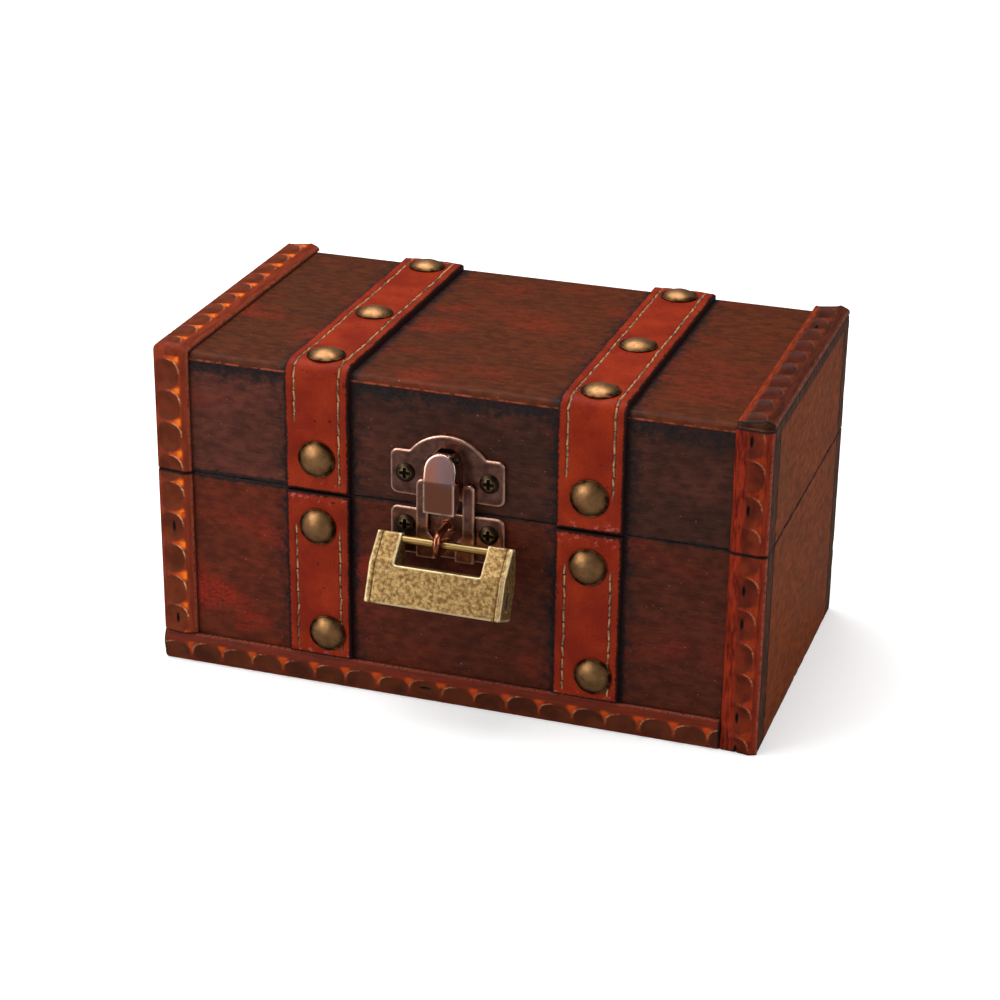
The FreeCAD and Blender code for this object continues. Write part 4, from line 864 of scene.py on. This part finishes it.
NAIL_BRASS = antique_brass("antique_nail_brass", "#ae8054", "#2c190c", 0.3 * MM, 1.4 * MM)
DOME_NAILS = nail_tree()
nail = turned("nail", nail_profile(), NAIL_SIDES)
for vertex in nail.data.vertices:
    vertex.co *= 1 + DENT / NAIL_RADIUS * noise.noise(vertex.co / DENT_LENGTH)
keep(nail.data, {"rise": [vertex.co.z for vertex in nail.data.vertices]})
for seed, (body, places) in enumerate(NAILS.items()):
    seats = bpy.data.meshes.new("nail_seats")
    seats.from_pydata([tuple(tip - way * NAIL_RISE) for tip, way in places], [], [])
    facing = seats.attributes.new("facing", "FLOAT_VECTOR", "POINT")
    facing.data.foreach_set("vector", np.array([way for tip, way in places]).ravel())
    piece = grown(f"{body}_dome_nails", seats, DOME_NAILS,
                  {"Piece": nail, "Seed": seed, "Material": NAIL_BRASS})
    settle(piece, body, "nail_brass", [f"{body}_strap_nails"])
bpy.data.objects.remove(nail)


# Hasp.  Two plates stamped from copper sheet and screwed on, the upper one with a lug that the hooded tongue
# swings from, the lower one with two prongs and a wire staple.  Dark oxide covers the copper, the rims are
# worn round and rubbed bright, partly as a painted highlight; the tongue's upper half is a painted
# reflection, and narrow cuts and screw slots are painted dark as shade.

SMOOTH_SHARE = 0.5
FOLD_BLEND = 0.4 * MM
RIM_WIDTH = 0.9 * MM
MATE_REACH = 0.7 * MM
CUT_WIDTH = 1.6 * MM
CUT_DEPTH = 1.0 * MM
CUT_RINGS = 3


def measures(items, word, width, kind=np.float32):
    """One measure of a mesh's points or edges, in rows."""
    numbers = np.empty(width * len(items), kind)
    items.foreach_get(word, numbers)
    return numbers.reshape(-1, width)


def mean_beside(values, ends, count):
    """The mean of the points that share an edge with each point, for each column of values."""
    here, beside = np.concatenate([ends, ends[:, ::-1]]).T
    totals = [np.bincount(here, column[beside], len(values)) for column in values.T]
    return np.stack(totals, axis=1) / count


def worn(node, body, slot, cell, rounds, material, mates=(), facing=None):
    """A copy of a plain node with its edges worn round: its skin is cut into small even cells and smoothed.
    Its points keep how sharply the skin bends outward near them, for worn edges with a painted highlight,
    and how deep they lie behind a facing or in a narrow cut, for painted shade.  Mates are the levels along X
    where the piece lies against another and keeps its edge."""
    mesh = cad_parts[node].data.copy()
    work = welded(mesh)
    work.to_mesh(mesh)
    work.free()
    piece = put(f"{node}_worn", mesh)
    modifier = piece.modifiers.new("cells", "REMESH")
    modifier.mode = "VOXEL"
    modifier.voxel_size = cell
    made = plain(piece, modifier)
    points = measures(made.vertices, "co", 3).astype(float)
    ends = measures(made.edges, "vertices", 2, np.int32)
    count = np.bincount(ends.ravel(), minlength=len(points))[:, None]
    free = np.ones((len(points), 1))
    for level in mates:
        free[np.abs(points[:, 0] - level) < MATE_REACH] = 0.0
    for _ in range(rounds):
        points += SMOOTH_SHARE * free * (mean_beside(points, ends, count) - points)
    made.vertices.foreach_set("co", points.astype(np.float32).ravel())
    made.update()
    normals = measures(made.vertices, "normal", 3).astype(float)
    depth = -points @ (np.zeros(3) if facing is None else facing)
    depth -= depth.min()
    work = bmesh.new()
    work.from_mesh(made)
    walls = BVHTree.FromBMesh(work)
    work.free()
    hits = [walls.ray_cast(vertex.co + vertex.normal * cell, vertex.normal, CUT_WIDTH)[0]
            for vertex in made.vertices]
    faced = np.array([[hit is not None] for hit in hits])
    for _ in range(CUT_RINGS):
        faced |= mean_beside(faced, ends, count) > 0
    # Narrow cuts are marked deep so that they are painted dark as shade.
    depth[faced[:, 0]] = CUT_DEPTH
    lift = ((points - mean_beside(points, ends, count)) * normals).sum(axis=1)
    wear = np.column_stack([normals, lift])
    for _ in range(round((RIM_WIDTH / cell) ** 2)):
        wear += SMOOTH_SHARE * (mean_beside(wear, ends, count) - wear)
    bend = (1 - np.linalg.norm(wear[:, :3], axis=1)) * (wear[:, 3] > 0) * free[:, 0]
    keep(made, {"bend": bend, "deep": depth})
    made.materials.clear()
    return settle(piece, body, slot, [node], material)


def rubbed_metal(name, bright, middle, dull, cloud_size, low_rough, high_rough, metallic=1.0, fold=0.0):
    """Oxidised metal: dark and clouded on the flats, dull below a fold, with the tongue's middle tone above
    the fold a painted reflection, bright along the worn edges, partly rubbed and partly a painted highlight,
    and black in deep cuts as painted shade."""
    material, tree, bend, deep = new_material(name, "bend", "deep")
    place = add(tree, "ShaderNodeTexCoord", out="Object")
    height = add(tree, "ShaderNodeSeparateXYZ", {"Vector": place}, out="Z")
    # Above the fold: on the tongue the middle lilac tone is a painted reflection of the light above.
    above = add(tree, RANGE, {"Value": height, "From Min": fold - FOLD_BLEND, "From Max": fold + FOLD_BLEND})
    cloud = patches(tree, cloud_size, 0.3, 0.7, 1.5, 4.0)
    cloud = add(tree, MATH, {0: cloud, 1: above}, **TIMES)
    grit = patches(tree, 0.5 * MM, 0.35, 0.7, 2.5, 3.0)
    broken = patches(tree, 3.0 * MM, 0.2, 0.5, 3.5, 4.0)
    # Worn edges, rubbed bright and partly a painted highlight.
    edge = add(tree, RANGE, {"Value": bend, "From Min": 0.02, "From Max": 0.18}, **SOFT)
    # Painted shade in cuts, screw slots and the keyhole.
    recess_shade = add(tree, RANGE, {"Value": deep, "From Min": 0.15 * MM, "From Max": 0.4 * MM, "To Max": 0.9})
    colour = coats(tree, dull, (middle, cloud), (dull, grit, 0.4), (bright, edge, broken), (SOOT_AND_SHADE, recess_shade))
    rough = add(tree, RANGE, {"Value": cloud, "To Min": high_rough, "To Max": low_rough})
    return surfaced(material, {"Base Color": colour, "Metallic": metallic, "Roughness": rough})


PLATE_CELL = 0.17 * MM
TONGUE_CELL = 0.14 * MM
SCREW_CELL = 0.1 * MM
WEAR_ROUNDS = 9
CRISP_ROUNDS = 2
TONGUE_FOLD = sum(corner[2] for corner in corners("hasp_tongue")) / 2
HASP_COPPER = rubbed_metal("oxidised_copper", "#eeb8a0", "#8e665a", "#5e3e35", 3 * MM, 0.26, 0.38)
# The tongue's lilac upper half is a painted reflection; its lower half is the copper's own colour.
TONGUE_COPPER = rubbed_metal("rubbed_copper_painted_reflection", "#f4d0bc", "#846a6e", "#8c5844", 9 * MM, 0.2, 0.3,
                             fold=TONGUE_FOLD)
SCREW_BRONZE = rubbed_metal("dark_bronze", "#8c7450", "#54422c", "#32261a", 2 * MM, 0.28, 0.4)
STAPLE_COPPER = plain_metal("bright_copper_wire", "#a8664a", 0.28)
worn("hasp_lower_plate", "base", "hasp_copper", PLATE_CELL, WEAR_ROUNDS, HASP_COPPER)
worn("hasp_upper_plate", "lid", "hasp_copper", PLATE_CELL, WEAR_ROUNDS, HASP_COPPER)
worn("hasp_tongue", "tongue", "hasp_copper", TONGUE_CELL, WEAR_ROUNDS, TONGUE_COPPER)
dress("hasp_staple", STAPLE_COPPER)
dress("hasp_tongue_pin", DARK_IRON)
for node, body in (("hasp_lower_screws", "base"), ("hasp_upper_screws", "lid")):
    worn(node, body, "screw_bronze", SCREW_CELL, CRISP_ROUNDS, SCREW_BRONZE, facing=FORWARD)


# Padlock.  A cast brass bar lock with a loose end plate that carries the round bar and a sprung bolt inside.
# Speckled olive-brown antique finish, paler on the filed edges, partly as a painted highlight; the keyhole is
# painted dark as shade.

LOCK_CELL = 0.24 * MM
LOCK_ROUNDS = 4
LOCK_BRASS = rubbed_metal("antique_lock_brass", "#f0dcac", "#bc9a62", "#6c4c22", 1.0 * MM, 0.34, 0.46, 0.7)
LOCK_JOINTS = [corner[0] for corner in corners("lock_body")]
for node, body in (("lock_body", "padlock"), ("lock_key_plate", "padlock"), ("lock_bolt_plate", "lock_bolt")):
    worn(node, body, "lock_brass", LOCK_CELL, LOCK_ROUNDS, LOCK_BRASS, mates=LOCK_JOINTS)
BAR_BRASS = plain_metal("drawn_brass_bar", "#a88c5a", 0.3)
SPRING_STEEL = plain_metal("spring_steel", "#8c8c8c", 0.3)
dress("lock_shackle_bar", BAR_BRASS)
dress("lock_spine", BAR_BRASS)
dress("lock_spring_leaves", SPRING_STEEL)


# Back hinges.  Two small butt hinges of pressed brass sheet, each leaf held by two screws, with a plain pin
# through the knuckles.

# The hinges take the same painted highlight on their edges and painted shade in their screw slots.
HINGE_BRASS = rubbed_metal("dull_hinge_brass", "#c8ac78", "#8a7048", "#5e4628", 3 * MM, 0.32, 0.45)
for side in ("left", "right"):
    for body in ("base", "lid"):
        worn(f"hinge_{body}_leaf_{side}", body, "hinge_brass", PLATE_CELL, CRISP_ROUNDS, HINGE_BRASS)
    dress(f"hinge_pin_{side}", BAR_BRASS)
for body in ("base", "lid"):
    worn(f"hinge_{body}_screws", body, "screw_bronze", SCREW_CELL, CRISP_ROUNDS, SCREW_BRONZE,
         facing=BACKWARD)


# Studio.  A white floor that keeps the box's soft shadow, a large soft light overhead, weaker ones at both
# sides and at the front left, and the camera at the photograph's place.

AZIMUTH, ELEVATION, ROLL = math.radians(18.177), math.radians(23.746), math.radians(0.716)
DISTANCE = 705.69 * MM
AIM = Vector((-1.688, -1.700, 40.365)) * MM
SENSOR = 36.0
FOCAL_SHARE = 2.5824
CLIP_RANGE = 100

lens = bpy.data.cameras.new("camera")
lens.sensor_width = SENSOR
lens.lens = SENSOR * FOCAL_SHARE
lens.clip_start = DISTANCE / CLIP_RANGE
lens.clip_end = DISTANCE * CLIP_RANGE
camera = put("camera", lens)
turn = Matrix.Identity(4)
for angle, axis in ((AZIMUTH, "Z"), (math.pi / 2 - ELEVATION, "X"), (ROLL, "Z")):
    turn = turn @ Matrix.Rotation(angle, 4, axis)
camera.matrix_world = Matrix.Translation(AIM) @ turn @ Matrix.Translation((0.0, 0.0, DISTANCE))
bpy.context.scene.camera = camera

FLOOR_HALF = 3.0
FLOOR_LEVEL = 0.8
FLOOR_LIFT = 0.35
FLOOR_DIM = 0.25
SHADOW_REACH = 0.4


def white_paper():
    """Matt white paper; the camera sees it lifted to plain white, with the shadow left in, and shiny pieces
    see it dim, as a table in a real room."""
    material, tree = new_material("white_paper")
    seen = add(tree, "ShaderNodeLightPath", out="Is Camera Ray")
    place = add(tree, "ShaderNodeTexCoord", out="Object")
    away = add(tree, "ShaderNodeVectorMath", {0: place}, out="Value", operation="LENGTH")
    lift = add(tree, RANGE, {"Value": away, "From Min": SHADOW_REACH, "From Max": 2 * SHADOW_REACH,
                                            "To Min": FLOOR_LIFT})
    lift = add(tree, MATH, {0: seen, 1: lift}, **TIMES)
    glow = add(tree, "ShaderNodeEmission", {"Strength": lift})
    mirrored = add(tree, "ShaderNodeLightPath", out="Is Glossy Ray")
    shade = add(tree, RANGE, {"Value": mirrored, "To Min": FLOOR_LEVEL, "To Max": FLOOR_DIM})
    paper = add(tree, "ShaderNodeBsdfDiffuse", {"Color": shade})
    both = add(tree, "ShaderNodeAddShader", {0: glow, 1: paper})
    add(tree, "ShaderNodeOutputMaterial", {"Surface": both})
    return material


sheet = bpy.data.meshes.new("floor")
square = [Vector(corner) * FLOOR_HALF for corner in ((-1, -1, 0), (1, -1, 0), (1, 1, 0), (-1, 1, 0))]
sheet.from_pydata(square, [], [(0, 1, 2, 3)])
sheet.materials.append(white_paper())
put("floor", sheet)

ROOM_LEVEL = 0.28
ROOM_DIM = 0.12


def studio_room():
    """An even grey room that the camera sees as white and shiny pieces see dim."""
    world = bpy.data.worlds.new("room")
    world.use_nodes = True
    tree = world.node_tree
    tree.nodes.clear()
    seen = add(tree, "ShaderNodeLightPath", out="Is Camera Ray")
    mirrored = add(tree, "ShaderNodeLightPath", out="Is Glossy Ray")
    shade = add(tree, RANGE, {"Value": mirrored, "To Min": ROOM_LEVEL, "To Max": ROOM_DIM})
    shade = add(tree, RANGE, {"Value": seen, "To Min": shade})
    sky = add(tree, "ShaderNodeBackground", {"Color": linear("#ffffff"), "Strength": shade})
    add(tree, "ShaderNodeOutputWorld", {"Surface": sky})
    return world


bpy.context.scene.world = studio_room()
LIGHT_DISTANCE = 0.9
SOFT_LIGHTS = {"overhead": ((-0.25, 0.1, 1.0), 0.9, 10.8), "right": ((1.0, -0.15, 0.35), 0.6, 3.0),
               "left": ((-0.8, -0.7, 0.6), 0.5, 3.0), "front": ((-0.5, -0.85, 0.2), 0.35, 1.3)}
for name, (way, size, power) in SOFT_LIGHTS.items():
    panel = bpy.data.lights.new(name, "AREA")
    panel.size = size
    panel.energy = power
    light = put(name, panel)
    direction = Vector(way).normalized()
    light.location = AIM + direction * LIGHT_DISTANCE
    light.rotation_mode = "QUATERNION"
    light.rotation_quaternion = direction.to_track_quat("Z", "Y")
bpy.context.scene.view_settings.view_transform = "Standard"
